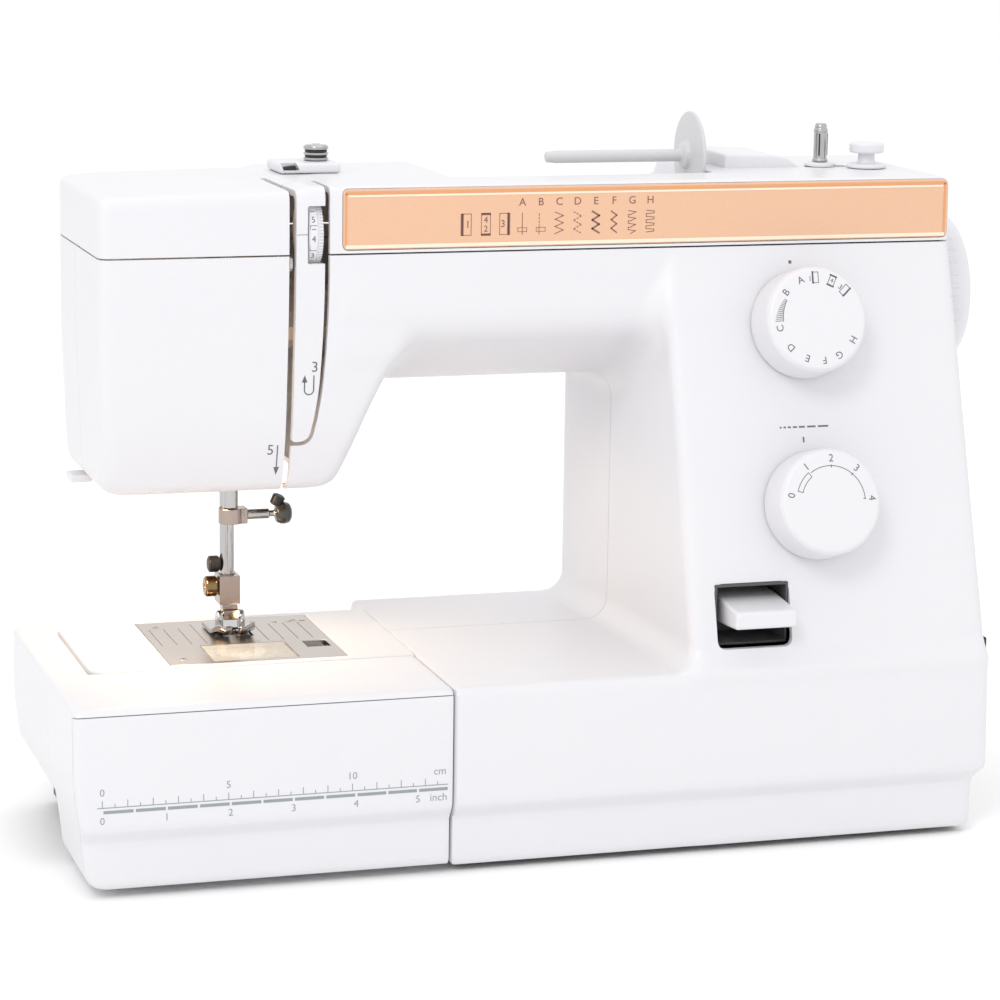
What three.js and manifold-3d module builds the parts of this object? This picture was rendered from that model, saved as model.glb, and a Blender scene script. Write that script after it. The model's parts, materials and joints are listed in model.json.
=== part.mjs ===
// Domestic free-arm sewing machine: casing, drive, stitch-forming parts, controls and thread holders.
// Millimetres. +Z up, +X towards the handwheel, -Y towards the sewer.
// The origin is the centre of the machine's footprint, on the surface it stands on.
import * as THREE from "three";
import { mergeVertices } from "three/addons/utils/BufferGeometryUtils.js";
import Module from "manifold-3d";

const wasm = await Module();
wasm.setup();

// ---------------------------------------------------------------- driving dimensions
const WALL = 2.6; // casing wall
const GAP = 0.3; // between pieces that touch
const FAR = 400; // past every face, for cutting boxes

const BED_TOP = 73.5;
const BED_LEFT = -204.5;
const DATUM = 4; // height of the datum plane, z = 0 below, over the surface it stands on
const BASE = { front: -84, back: 84, right: 182, bottom: -1, skirt: 4.5, skirtTop: 19, ledge: 25 };
const SEAM_X = -51.5; // between the extension table and the base
const PANEL = { topY: -33, topZ: 240, slope: 0.29 }; // the leaning front of the column
const LEAN = Math.atan(PANEL.slope);
const TOP = 268.5;
const BACK = 78;
const RIGHT = 178.5;
const ARM = { bottom: 182, rollBack: 10, rollFront: 208 };
const HEAD = { left: -185, bottom: 142, right: -86, leftTop: 265.8, leftBack: 62 };
const COLUMN_LEFT = { front: 50.5, back: 44 };
const COVER_SPLIT_Y = 20;
const GROOVE_Z = 241.5; // top cover meets the covers below it

const SLOT = { left: -107.2, leftWide: 2.6, right: -92.6, rightWide: 2.0, tongueBottom: 165 };
const STRIP = { left: -85.3, right: 177, low: 243.2, high: 266.4, thick: 1.2 };

const FREE_ARM = { left: -187, front: -24, back: 64, bottom: 30 };
const PLATE = { left: -153, right: -79, front: -19.5, back: 56.5, thick: 1.5 };
const HOOK_COVER = { left: -134, right: -98.7, front: -16, back: 11 };
const RELEASE = { left: -90.8, right: -83.4, front: -0.4, back: 9.7, travel: 2 };

const NEEDLE = { x: -117.3, y: 29, tip: 97 };
const PRESSER = { x: -116.3, y: 41 };
const HOOK = { x: NEEDLE.x, y: 9.5 };
const ARM_SHAFT = { y: 29, z: 213, r: 4 };
const BED_SHAFT = { y: 29, z: 46, r: 4 };
const CRANK_RADIUS = 16; // half the needle bar's stroke
const MOTOR = { y: 50, z: 100, r: 24 };
const TIMING = { x: 132, wide: 10, r: 14 };
const DRIVE = { x: 150.5, wide: 7, big: 30, small: 8 };
const BELT_THICK = 1.8;

const DIAL = { x: 108.4, r: 22.7, proud: 19.5 };
const PATTERN_DIAL_Z = 208.8;
const LENGTH_DIAL_Z = 136.6;
const TENSION = { x: -99.2, wide: 6, y: -19, z: 249.5, r: 15 };
const LEVER = { left: 66, right: 92.5, pivotY: -40, pivotZ: 95 };
const LEVER_RECESS = { left: 61.7, right: 94.4, low: 81.5, high: 107.5 };

const SPOOL = { y: 20, z: 274, rodR: 2.65, rodFrom: 16, discX: 79, discR: 18.7, discThick: 3.5 };
const SPOOL_BAY = { left: -30, right: 84, front: 0, floor: 254.6 };
const WINDER = { x: 139.5, y: 18 };
const STOPPER = { x: 156.8, y: 8 };
const GUIDE = { left: -99, right: -73, front: 18, back: 42, top: 273, capX: -80.8, capY: 30 };
const HUMP = { left: 95, right: 131, front: 16, back: 56, high: 6 }; // the rise beside the spool bay
const HANDLE = { left: -38, right: 93, y: 83.1, pivotZ: 256, low: 200, thick: 9, leg: 6 };
const LIFTER = { x: -96, z: 186 };

// ---------------------------------------------------------------- solids
const ROUND = 16; // sides of a small round piece

function solid(geometry, matrix) {
  const g = geometry.index ? geometry.clone() : geometry;
  g.deleteAttribute("normal");
  g.deleteAttribute("uv");
  if (matrix) g.applyMatrix4(matrix);
  const merged = mergeVertices(g, 1e-4);
  return new wasm.Manifold(
    new wasm.Mesh({
      numProp: 3,
      vertProperties: merged.attributes.position.array,
      triVerts: new Uint32Array(merged.index.array),
    }),
  );
}

const join = (...solids) => solids.reduce((a, b) => a.add(b));
const cut = (from, ...tools) => tools.reduce((a, b) => a.subtract(b), from);
const common = (...solids) => solids.reduce((a, b) => a.intersect(b));

// An outline through corners [u, v, radius]; a corner with a radius is rounded.
function outline(corners) {
  const shape = new THREE.Shape();
  corners.forEach(([u, v, radius = 0], i) => {
    const at = new THREE.Vector2(u, v);
    const towards = (j) => {
      const other = corners[(j + corners.length) % corners.length];
      const way = new THREE.Vector2(other[0], other[1]).sub(at);
      return at.clone().addScaledVector(way.normalize(), radius);
    };
    const first = radius ? towards(i - 1) : at;
    if (i) shape.lineTo(first.x, first.y);
    else shape.moveTo(first.x, first.y);
    if (radius) {
      const last = towards(i + 1);
      shape.quadraticCurveTo(u, v, last.x, last.y);
    }
  });
  shape.closePath();
  return shape;
}

const circle = (u, v, r) => new THREE.Shape().absarc(u, v, r, 0, 2 * Math.PI);

// Matrices that lay an extruded outline along an axis.
const ALONG_Z = (from) => new THREE.Matrix4().makeTranslation(0, 0, from);
const ALONG_X = (from) => new THREE.Matrix4().set(0, 0, 1, from, 1, 0, 0, 0, 0, 1, 0, 0, 0, 0, 0, 1);
const ALONG_Y = (to) => new THREE.Matrix4().set(1, 0, 0, 0, 0, 0, -1, to, 0, 1, 0, 0, 0, 0, 0, 1);

function extrude(shape, length, matrix, curveSegments) {
  const g = new THREE.ExtrudeGeometry(shape, { depth: length, bevelEnabled: false, curveSegments });
  return solid(g, matrix);
}
// (y, z) outline along X, (x, z) outline along Y, (x, y) outline along Z
const alongX = (shape, from, to, curves = 4) => extrude(shape, to - from, ALONG_X(from), curves);
const alongY = (shape, from, to, curves = 4) => extrude(shape, to - from, ALONG_Y(to), curves);
const alongZ = (shape, from, to, curves = 4) => extrude(shape, to - from, ALONG_Z(from), curves);

function box(x0, x1, y0, y1, z0, z1) {
  const g = new THREE.BoxGeometry(x1 - x0, y1 - y0, z1 - z0);
  return solid(g, new THREE.Matrix4().makeTranslation((x0 + x1) / 2, (y0 + y1) / 2, (z0 + z1) / 2));
}

const AXIS = {
  x: new THREE.Vector3(1, 0, 0),
  y: new THREE.Vector3(0, 1, 0),
  z: new THREE.Vector3(0, 0, 1),
  panel: new THREE.Vector3(0, -Math.cos(LEAN), Math.sin(LEAN)), // out of the leaning panel
};

// A turned piece: profile points [radius, height], height along axis from the point at.
function turned(profile, at, axis, sides = ROUND) {
  const points = profile.map(([r, h]) => new THREE.Vector2(r, h));
  const turn = new THREE.Quaternion().setFromUnitVectors(AXIS.y, axis);
  const place = new THREE.Matrix4().compose(new THREE.Vector3(...at), turn, new THREE.Vector3(1, 1, 1));
  return solid(new THREE.LatheGeometry(points, sides), place);
}
const rod = (r, at, axis, from, to, sides = ROUND) =>
  turned([[0, from], [r, from], [r, to], [0, to]], at, axis, sides);
const ring = (inner, outer, at, axis, from, to, sides = ROUND) =>
  turned([[inner, from], [outer, from], [outer, to], [inner, to], [inner, from]], at, axis, sides);

// ---------------------------------------------------------------- nodes and their finishes
const machine = new THREE.Group();
const onFeet = new THREE.Group(); // the feet hold the datum plane up
onFeet.position.z = DATUM;
machine.add(onFeet);
const FINISH = {
  white: { color: 0xf2f1f3, roughness: 0.35, metalness: 0 },
  peach: { color: 0xf4c8a5, roughness: 0.3, metalness: 0 },
  clear: { color: 0xe8eef0, roughness: 0.1, metalness: 0, transparent: true, opacity: 0.35 },
  chrome: { color: 0xd0d2d4, roughness: 0.15, metalness: 1 },
  steel: { color: 0xa8aaac, roughness: 0.35, metalness: 1 },
  casting: { color: 0x9a9ca0, roughness: 0.6, metalness: 0.8 },
  black: { color: 0x18181a, roughness: 0.4, metalness: 0 },
  rubber: { color: 0x2a2a2c, roughness: 0.9, metalness: 0 },
  glass: { color: 0xfff3dc, roughness: 0.05, metalness: 0 },
};

function node(name, body, finish) {
  const made = body.getMesh();
  const g = new THREE.BufferGeometry()
    .setAttribute("position", new THREE.BufferAttribute(new Float32Array(made.vertProperties), 3))
    .setIndex(new THREE.BufferAttribute(new Uint32Array(made.triVerts), 1));
  g.computeVertexNormals();
  const mesh = new THREE.Mesh(g, new THREE.MeshStandardMaterial(FINISH[finish]));
  mesh.name = name;
  onFeet.add(mesh);
}

// ---------------------------------------------------------------- the casing
// Each outer form is made again, inset by the wall, to hollow it. The bottom stays open.
const floorOf = (inset) => (inset ? BASE.bottom - 5 : BASE.bottom);

function baseForm(inset) {
  const front = BASE.front + inset;
  const skirt = front + BASE.skirt;
  const profile = outline([
    [skirt, floorOf(inset)], [BASE.back - inset, floorOf(inset)], [BASE.back - inset, BED_TOP - inset, 5],
    [front, BED_TOP - inset, 5], [front, BASE.ledge], [skirt, BASE.skirtTop],
  ]);
  return alongX(profile, SEAM_X + GAP + inset, BASE.right + 10);
}

function columnForm(inset) {
  const front = BASE.front + inset;
  const skirt = front + BASE.skirt;
  const knee = PANEL.topZ - (PANEL.topY - BASE.front) / PANEL.slope;
  const side = outline([
    [skirt, floorOf(inset)], [BACK - inset, floorOf(inset)], [BACK - inset, TOP - inset, 14],
    [PANEL.topY + inset, TOP - inset, 4], [PANEL.topY + inset, PANEL.topZ], [front, knee, 24],
    [front, BASE.ledge], [skirt, BASE.skirtTop],
  ]);
  const plan = outline([
    [COLUMN_LEFT.front + inset, -FAR], [FAR, -FAR], [FAR, FAR], [COLUMN_LEFT.back + inset, FAR],
    [COLUMN_LEFT.back + inset, BACK], [COLUMN_LEFT.front + inset, PANEL.topY],
  ]);
  return common(alongX(side, 30, FAR), alongZ(plan, -20, FAR));
}

function armForm(inset) {
  const side = outline([
    [PANEL.topY + inset, TOP - inset, 4], [PANEL.topY + inset, ARM.rollFront + inset / 2, 9],
    [ARM.rollBack, ARM.bottom + inset, 9], [BACK - inset, ARM.bottom + inset, 8], [BACK - inset, TOP - inset, 14],
  ].reverse());
  return alongX(side, HEAD.right, RIGHT + 10);
}

function headForm(inset) {
  const side = outline([
    [PANEL.topY + inset, TOP - inset, 4], [PANEL.topY + inset, 225, 20], [-27 + inset, 165, 12],
    [-19 + inset, HEAD.bottom + inset, 8], [BACK - inset, HEAD.bottom + inset, 6], [BACK - inset, TOP - inset, 14],
  ].reverse());
  const front = outline([
    [HEAD.left + inset, HEAD.leftTop - inset, 4], [HEAD.left + inset, 205], [HEAD.left + 4 + inset, HEAD.bottom + inset, 12],
    [HEAD.right - inset, HEAD.bottom + inset, 8], [-70 - inset, ARM.bottom, 12], [-57 - inset, 206],
    [-57 - inset, TOP - inset], [-104, TOP - inset],
  ].reverse());
  const plan = outline([
    [HEAD.left + inset, -FAR], [0, -FAR], [0, BACK - inset], [HEAD.left + 20, BACK - inset, 10],
    [HEAD.left + inset, HEAD.leftBack - inset, 10],
  ]);
  return common(alongX(side, HEAD.left - 10, 0), alongY(front, -FAR, FAR), alongZ(plan, 0, FAR));
}

function casingForm(inset) {
  const right = outline([
    [-FAR, -20], [BASE.right - BASE.skirt - inset, -20], [BASE.right - BASE.skirt - inset, BASE.skirtTop],
    [BASE.right - inset, BASE.ledge], [RIGHT - inset, TOP - inset, 5], [RIGHT - inset - 8, FAR], [-FAR, FAR],
  ]);
  const whole = join(baseForm(inset), columnForm(inset), armForm(inset), headForm(inset));
  return common(whole, alongY(right, -FAR, FAR));
}

const solidCasing = casingForm(0);
const hollow = casingForm(WALL);

// The bay for the thread spool is sunk in the top and opens to the back.
const bayWalls = box(
  SPOOL_BAY.left - WALL, SPOOL_BAY.right + WALL, SPOOL_BAY.front - WALL, FAR, SPOOL_BAY.floor - WALL, FAR);
const bayRoom = box(SPOOL_BAY.left, SPOOL_BAY.right, SPOOL_BAY.front, FAR, SPOOL_BAY.floor, FAR);

const panelY = (z) => PANEL.topY - PANEL.slope * (PANEL.topZ - z);
const onPanel = (x, z) => [x, panelY(z), z];

const tongueRoom = join(
  box(SLOT.left + SLOT.leftWide, SLOT.right + SLOT.rightWide, -FAR, -8, SLOT.tongueBottom - 1.2, FAR),
  box(SLOT.left, SLOT.left + SLOT.leftWide, -FAR, COVER_SPLIT_Y, 0, FAR),
);
const openings = join(
  box(-168, -90, -10, 68, HEAD.bottom - 5, HEAD.bottom + 5), // under the head, for needle bar and lamp
  box(SEAM_X - 1, SEAM_X + 6, FREE_ARM.front + 3, FREE_ARM.back - 3, FREE_ARM.bottom + 3, BED_TOP - 3),
  box(SEAM_X - 1, SEAM_X + 6, FREE_ARM.front + 1.5, FREE_ARM.back - 1.5, -5, 10.4), // the tray runs through
  rod(6.5, [0, ARM_SHAFT.y, ARM_SHAFT.z], AXIS.x, 170, 190),
  rod(5, onPanel(DIAL.x, PATTERN_DIAL_Z), AXIS.panel, -8, 8),
  rod(5, onPanel(DIAL.x, LENGTH_DIAL_Z), AXIS.panel, -8, 8),
  alongY(outline([
    [LEVER_RECESS.left, LEVER_RECESS.low, 4], [LEVER_RECESS.right, LEVER_RECESS.low, 4],
    [LEVER_RECESS.right, LEVER_RECESS.high, 4], [LEVER_RECESS.left, LEVER_RECESS.high, 4]]), -FAR, -60),
  rod(3.7, [LIFTER.x, 0, LIFTER.z], AXIS.y, 70, 90),
  box(132.5, 151.5, WINDER.y - 4.2, WINDER.y + 4.2, 260, 275), // slot of the bobbin winder
  box(174, 190, -75, -57, 65, 80), // power switch
  box(174, 190, -31, -5, 29, 53), // power inlet
  box(-32.6, -14.5, 70, 90, 40.5, 47.5), // drop-feed lever
);
const shell = cut(join(cut(solidCasing, hollow), common(bayWalls, solidCasing)), bayRoom, openings);

const above = box(-FAR, FAR, -FAR, FAR, GROOVE_Z + GAP, FAR);
const below = box(-FAR, FAR, -FAR, FAR, -20, GROOVE_Z);
const frontHalf = box(-FAR, FAR, -FAR, COVER_SPLIT_Y, -20, FAR);
const rearHalf = box(-FAR, FAR, COVER_SPLIT_Y + GAP, FAR, -20, FAR);
const leftOfSlot = box(-FAR, SLOT.left, -FAR, FAR, -20, FAR);
const rightOfSlot = box(SLOT.left + SLOT.leftWide, FAR, -FAR, FAR, -20, FAR);

function topCover() {
  const stripSeat = box(STRIP.left - GAP, STRIP.right + GAP, -FAR, PANEL.topY + STRIP.thick + GAP,
    STRIP.low - GAP, STRIP.high + GAP);
  const lug = (x0, x1) => box(x0, x1, BACK - 4, HANDLE.y + 4, HANDLE.pivotZ - 5.5, HANDLE.pivotZ + 5.5);
  const pinHole = rod(2.9, [0, HANDLE.y, HANDLE.pivotZ], AXIS.x, -60, 120);
  const lugs = cut(
    join(lug(HANDLE.left - 8, HANDLE.left - 0.6), lug(HANDLE.right + 0.6, HANDLE.right + 8)), pinHole);
  const hump = alongY(outline([
    [HUMP.left, TOP - 1], [HUMP.right, TOP - 1], [HUMP.right - 9, TOP + HUMP.high - 1, 4], [HUMP.left, TOP + HUMP.high, 1],
  ]), HUMP.front, HUMP.back);
  const tongueClear = box(SLOT.left + SLOT.leftWide, SLOT.right + SLOT.rightWide, -FAR, -8, 0, FAR);
  return join(cut(common(shell, above), tongueRoom, tongueClear, stripSeat), lugs, hump);
}

function tongue() {
  const left = SLOT.left + SLOT.leftWide + GAP;
  const right = SLOT.right;
  const front = outline([
    [left, SLOT.tongueBottom, 3], [right - 4, SLOT.tongueBottom, 3], [right, SLOT.tongueBottom + 26, 20],
    [right, TOP + 5], [left, TOP + 5],
  ]);
  const window = box(TENSION.x - 0.5, right + 1, -FAR, -20, TENSION.z - 11.6, TENSION.z + 11.6);
  const column = common(cut(casingForm(0), casingForm(WALL + 1)), alongY(front, -FAR, -8.5));
  return cut(column, window);
}

node("top_cover", topCover(), "white");
node("face_cover", common(shell, below, frontHalf, leftOfSlot), "white");
node("front_cover", cut(common(shell, below, frontHalf, rightOfSlot), tongueRoom), "white");
node("rear_cover", common(shell, below, rearHalf), "white");
node("thread_guide_tongue", tongue(), "white");
node("pattern_strip", alongY(outline([
  [STRIP.left, STRIP.low, 1], [STRIP.right, STRIP.low, 4], [STRIP.right, STRIP.high, 4], [STRIP.left, STRIP.high, 1],
]), PANEL.topY, PANEL.topY + STRIP.thick), "peach");

// ---------------------------------------------------------------- base, free arm and table
node("base_tray", join(
  box(-188, SEAM_X + 10, FREE_ARM.front + 2, FREE_ARM.back - 2, BASE.bottom, 10),
  box(SEAM_X + GAP + WALL + GAP, BASE.right - BASE.skirt - WALL - 0.4, BASE.front + BASE.skirt + WALL + 0.4,
    BACK - WALL - 0.4, BASE.bottom, BASE.bottom + 3),
), "black");
for (const [name, x, y] of [
  ["foot_front_left", -176, -10], ["foot_rear_left", -176, 48],
  ["foot_front_right", 160, -62], ["foot_rear_right", 160, 62],
]) node(name, rod(8, [x, y, 0], AXIS.z, -DATUM, BASE.bottom - GAP, 16), "rubber");

function freeArm() {
  const form = (inset) => common(
    alongZ(outline([
      [FREE_ARM.left + inset, FREE_ARM.front + inset, 12], [SEAM_X + (inset ? 10 : 0), FREE_ARM.front + inset],
      [SEAM_X + (inset ? 10 : 0), FREE_ARM.back - inset], [FREE_ARM.left + inset, FREE_ARM.back - inset, 12],
    ]), 0, FAR),
    box(-FAR, FAR, -FAR, FAR, FREE_ARM.bottom + inset, BED_TOP - inset),
  );
  const seat = box(PLATE.left - GAP, PLATE.right + GAP, PLATE.front - GAP, PLATE.back + GAP,
    BED_TOP - PLATE.thick - GAP, FAR);
  const well = box(PLATE.left + 3, PLATE.right - 1.5, PLATE.front + 3, PLATE.back - 3, BED_TOP - 10, FAR);
  return cut(form(0), form(2.4), seat, well);
}
node("free_arm_cover", freeArm(), "white");

const TABLE = { right: SEAM_X - 0.2, back: FREE_ARM.front - 0.6, armLeft: FREE_ARM.left - 0.5, bottom: -1 };
const LID = { high: 70.6, play: 0.4, hinge: 1.5 };
const skirtY = BASE.front + BASE.skirt;

function extensionTable() {
  const leftEnd = outline([
    [BED_LEFT, BED_TOP, 3], [BED_LEFT, 44], [-202.4, 28, 4], [-200.3, 14, 4], [-199, TABLE.bottom, 9],
    [0, TABLE.bottom], [0, BED_TOP],
  ].reverse());
  const frontSide = outline([
    [skirtY, TABLE.bottom, 2], [TABLE.back, TABLE.bottom], [TABLE.back, BED_TOP], [BASE.front, BED_TOP, 5],
    [BASE.front, BASE.ledge], [skirtY, BASE.skirtTop],
  ]);
  const frontPart = alongX(frontSide, BED_LEFT, TABLE.right);
  const endPart = box(BED_LEFT, TABLE.armLeft, TABLE.back - 1, FREE_ARM.back, 25, BED_TOP);
  const outer = common(join(frontPart, endPart), alongY(leftEnd, -FAR, FAR));
  const behindLid = alongX(outline([
    [-FAR, -20], [skirtY + WALL + LID.play, -20], [skirtY + WALL + LID.play, BASE.skirtTop],
    [BASE.front + WALL + LID.play, BASE.ledge], [BASE.front + WALL + LID.play, LID.high + LID.play],
    [-FAR, LID.high + LID.play],
  ]), -FAR, FAR);
  const lidFoot = rod(3.4, [0, skirtY + WALL / 2, LID.hinge], AXIS.x, -FAR, FAR); // room for its lower edge to turn
  const storage = box(-197, -54, -FAR, TABLE.back - WALL, TABLE.bottom + WALL, LID.high + LID.play);
  const endRoom = box(BED_LEFT + 5, TABLE.armLeft + 5, TABLE.back, FREE_ARM.back - WALL, 0, BED_TOP - WALL);
  return {
    table: cut(outer, behindLid, lidFoot, storage, endRoom),
    lid: common(alongX(outline([
      [BASE.front, BASE.ledge], [BASE.front, LID.high], [BASE.front + WALL, LID.high],
      [BASE.front + WALL, BASE.ledge], [skirtY + WALL, BASE.skirtTop], [skirtY + WALL, TABLE.bottom],
      [skirtY, TABLE.bottom], [skirtY, BASE.skirtTop],
    ].reverse()), BED_LEFT, TABLE.right - 0.2), alongY(leftEnd, -FAR, FAR)),
  };
}
const { table, lid } = extensionTable();
node("extension_table", table, "white");
node("storage_lid", lid, "white");

// ---------------------------------------------------------------- needle plate and hook
const FEED = { rows: [-7.2, 0, 5.8], rowWide: 2.4, front: 27.5, back: 47 };

function needlePlate() {
  const low = BED_TOP - PLATE.thick;
  const plate = box(PLATE.left, PLATE.right, PLATE.front, PLATE.back, low, BED_TOP);
  const slots = FEED.rows.map((dx, i) =>
    box(NEEDLE.x + dx - 0.8, NEEDLE.x + dx + FEED.rowWide + 0.8, (i === 1 ? 33 : FEED.front) - 3, FEED.back + 3,
      0, FAR));
  const needleSlot = box(NEEDLE.x - 4.2, NEEDLE.x + 4.2, NEEDLE.y - 1.3, NEEDLE.y + 1.3, 0, FAR);
  const coverHole = box(HOOK_COVER.left - GAP, HOOK_COVER.right + GAP, HOOK_COVER.front - GAP,
    HOOK_COVER.back + GAP, 0, FAR);
  const buttonHole = box(RELEASE.left - GAP, RELEASE.right + RELEASE.travel + GAP, RELEASE.front - GAP, RELEASE.back + GAP, 0, FAR);
  return cut(plate, ...slots, needleSlot, coverHole, buttonHole);
}
node("needle_plate", needlePlate(), "steel");
node("hook_cover", box(HOOK_COVER.left, HOOK_COVER.right, HOOK_COVER.front, HOOK_COVER.back,
  BED_TOP - PLATE.thick, BED_TOP), "clear");
node("hook_cover_release", join(
  box(RELEASE.left, RELEASE.right, RELEASE.front, RELEASE.back, 68, BED_TOP - 0.2),
  box(RELEASE.left - 2, RELEASE.right + 2, RELEASE.front - 2, RELEASE.back + 2, 68, 70.6),
), "black");

function feedDog() {
  const rows = FEED.rows.map((dx, i) =>
    box(NEEDLE.x + dx, NEEDLE.x + dx + FEED.rowWide, i === 1 ? 33 : FEED.front, FEED.back, 71.3, BED_TOP - 0.2));
  const stems = box(NEEDLE.x + FEED.rows[0], NEEDLE.x + FEED.rows[2] + FEED.rowWide, 33, FEED.back, 66.4, 71.6);
  const notch = box(NEEDLE.x + FEED.rows[0] + FEED.rowWide, NEEDLE.x, 33, FEED.back, 70, FAR);
  const otherNotch = box(NEEDLE.x + FEED.rowWide, NEEDLE.x + FEED.rows[2], 33, FEED.back, 70, FAR);
  return join(cut(stems, notch, otherNotch), ...rows);
}
node("feed_dog", feedDog(), "steel");
node("feed_bar", box(-128, -104, 34, 46, 60.5, 65.8), "casting");

node("rotary_hook", turned([
  [0, 36], [3, 36], [3, 41], [10.2, 41], [10.2, 51], [3, 51], [3, 56.5], [17.5, 56.5], [17.5, 67], [16.3, 67],
  [16.3, 57.7], [0, 57.7],
], [HOOK.x, HOOK.y, 0], AXIS.z, 24), "steel");
node("bobbin_case", turned([
  [0, 58.1], [15.8, 58.1], [15.8, 71.2], [14.6, 71.2], [14.6, 59.1], [0, 59.1],
], [HOOK.x, HOOK.y, 0], AXIS.z, 24), "black");
node("bobbin", turned([
  [3, 59.5], [10.3, 59.5], [10.3, 60.3], [4, 60.3], [4, 70.2], [10.3, 70.2], [10.3, 71], [3, 71], [3, 59.5],
], [HOOK.x, HOOK.y, 0], AXIS.z), "clear");

// ---------------------------------------------------------------- shafts, belts and motor
const armShaftAt = [0, ARM_SHAFT.y, ARM_SHAFT.z];
const bedShaftAt = [0, BED_SHAFT.y, BED_SHAFT.z];
node("arm_shaft", join(
  rod(ARM_SHAFT.r, armShaftAt, AXIS.x, -99, 186),
  rod(18, armShaftAt, AXIS.x, -100, -92),
  rod(3, [0, ARM_SHAFT.y, ARM_SHAFT.z + CRANK_RADIUS - 2], AXIS.x, -102.5, -99),
), "steel");
node("arm_shaft_pulley", join(
  ring(ARM_SHAFT.r + GAP, TIMING.r, armShaftAt, AXIS.x, TIMING.x, TIMING.x + TIMING.wide + 1, 20),
  ring(ARM_SHAFT.r + GAP, 12, armShaftAt, AXIS.x, TIMING.x, DRIVE.x + 1),
  ring(ARM_SHAFT.r + GAP, DRIVE.big, armShaftAt, AXIS.x, DRIVE.x, DRIVE.x + DRIVE.wide, 28),
), "casting");
node("bed_shaft", join(
  rod(BED_SHAFT.r, bedShaftAt, AXIS.x, -130, 146),
  rod(TIMING.r, bedShaftAt, AXIS.x, TIMING.x, TIMING.x + TIMING.wide + 1, 20),
), "steel");
node("bed_shaft_gear", ring(BED_SHAFT.r + GAP, 9, bedShaftAt, AXIS.x, -122.3, -112.3, 28), "steel");

// The outline that a tight belt follows round two pulleys in the (y, z) plane.
function beltOutline(low, lowR, high, highR) {
  const way = Math.atan2(high.z - low.z, high.y - low.y);
  const spread = Math.acos((lowR - highR) / Math.hypot(high.z - low.z, high.y - low.y));
  return new THREE.Shape()
    .absarc(low.y, low.z, lowR, way + spread, way - spread + 2 * Math.PI)
    .absarc(high.y, high.z, highR, way - spread, way + spread);
}
function belt(low, lowR, high, highR, from, wide) {
  const outer = alongX(beltOutline(low, lowR + GAP + BELT_THICK, high, highR + GAP + BELT_THICK), from, from + wide, 8);
  const inner = alongX(beltOutline(low, lowR + GAP, high, highR + GAP), from - 1, from + wide + 1, 8);
  return cut(outer, inner);
}
node("timing_belt", belt(BED_SHAFT, TIMING.r, ARM_SHAFT, TIMING.r, TIMING.x + 1, TIMING.wide - 2), "rubber");
node("drive_belt", belt(MOTOR, DRIVE.small, ARM_SHAFT, DRIVE.big, DRIVE.x + 1, DRIVE.wide - 2), "rubber");
node("motor", rod(MOTOR.r, [0, MOTOR.y, MOTOR.z], AXIS.x, 72, 128, 28), "casting");
node("motor_pulley", join(
  rod(3, [0, MOTOR.y, MOTOR.z], AXIS.x, 128.5, 160, 16),
  rod(DRIVE.small, [0, MOTOR.y, MOTOR.z], AXIS.x, DRIVE.x, DRIVE.x + DRIVE.wide),
), "steel");
node("handwheel", turned([
  [0, 186.5], [8, 186.5], [8, 190], [29, 190], [30, 182.5], [35, 182.5], [36, 185], [36.5, 192], [34.5, 198.5], [30, 202.5],
  [24, 204.2], [12, 204.5], [0, 204.5],
], armShaftAt, AXIS.x, 32), "white");

// ---------------------------------------------------------------- the cast frame
function castFrame() {
  const [y0, y1] = [48.2, 57.8];
  const plates = join(
    box(-150, 145, y0, y1, 203, 238), // along the arm
    box(49.5, 68, y0, y1, 36, 238), // down the column
    box(-150, 68, y0, y1, 36, 52), // along the free arm
    box(-134, -106, y0, y1, 146, 232), // down the head
  );
  const guides = join(
    box(-125, -114, NEEDLE.y - 7, y0 + 1, 224, 230),
    box(-125, -108, NEEDLE.y - 7, y0 + 1, 146, 151),
  );
  const bearings = join(
    ...[[-82, -74], [104, 112]].map(([x0, x1]) => box(x0, x1, 20, y0 + 1, ARM_SHAFT.z - 8, ARM_SHAFT.z + 8)),
    ...[[-96, -88], [52, 60]].map(([x0, x1]) => box(x0, x1, 21, y0 + 1, 39, 52)),
  );
  return cut(join(plates, guides, bearings),
    rod(3.7, [NEEDLE.x, NEEDLE.y, 0], AXIS.z, 100, 260, 16),
    rod(3.6, [PRESSER.x, PRESSER.y, 0], AXIS.z, 100, 260, 16),
    rod(ARM_SHAFT.r + GAP, armShaftAt, AXIS.x, -90, 130),
    rod(BED_SHAFT.r + GAP, bedShaftAt, AXIS.x, -110, 100));
}
node("cast_frame", castFrame(), "casting");

// ---------------------------------------------------------------- needle and presser mechanisms
const needleAt = [NEEDLE.x, NEEDLE.y, 0];
const presserAt = [PRESSER.x, PRESSER.y, 0];
const STUD_Z = 192; // the stud that joins the connecting rod to the needle bar

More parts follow.
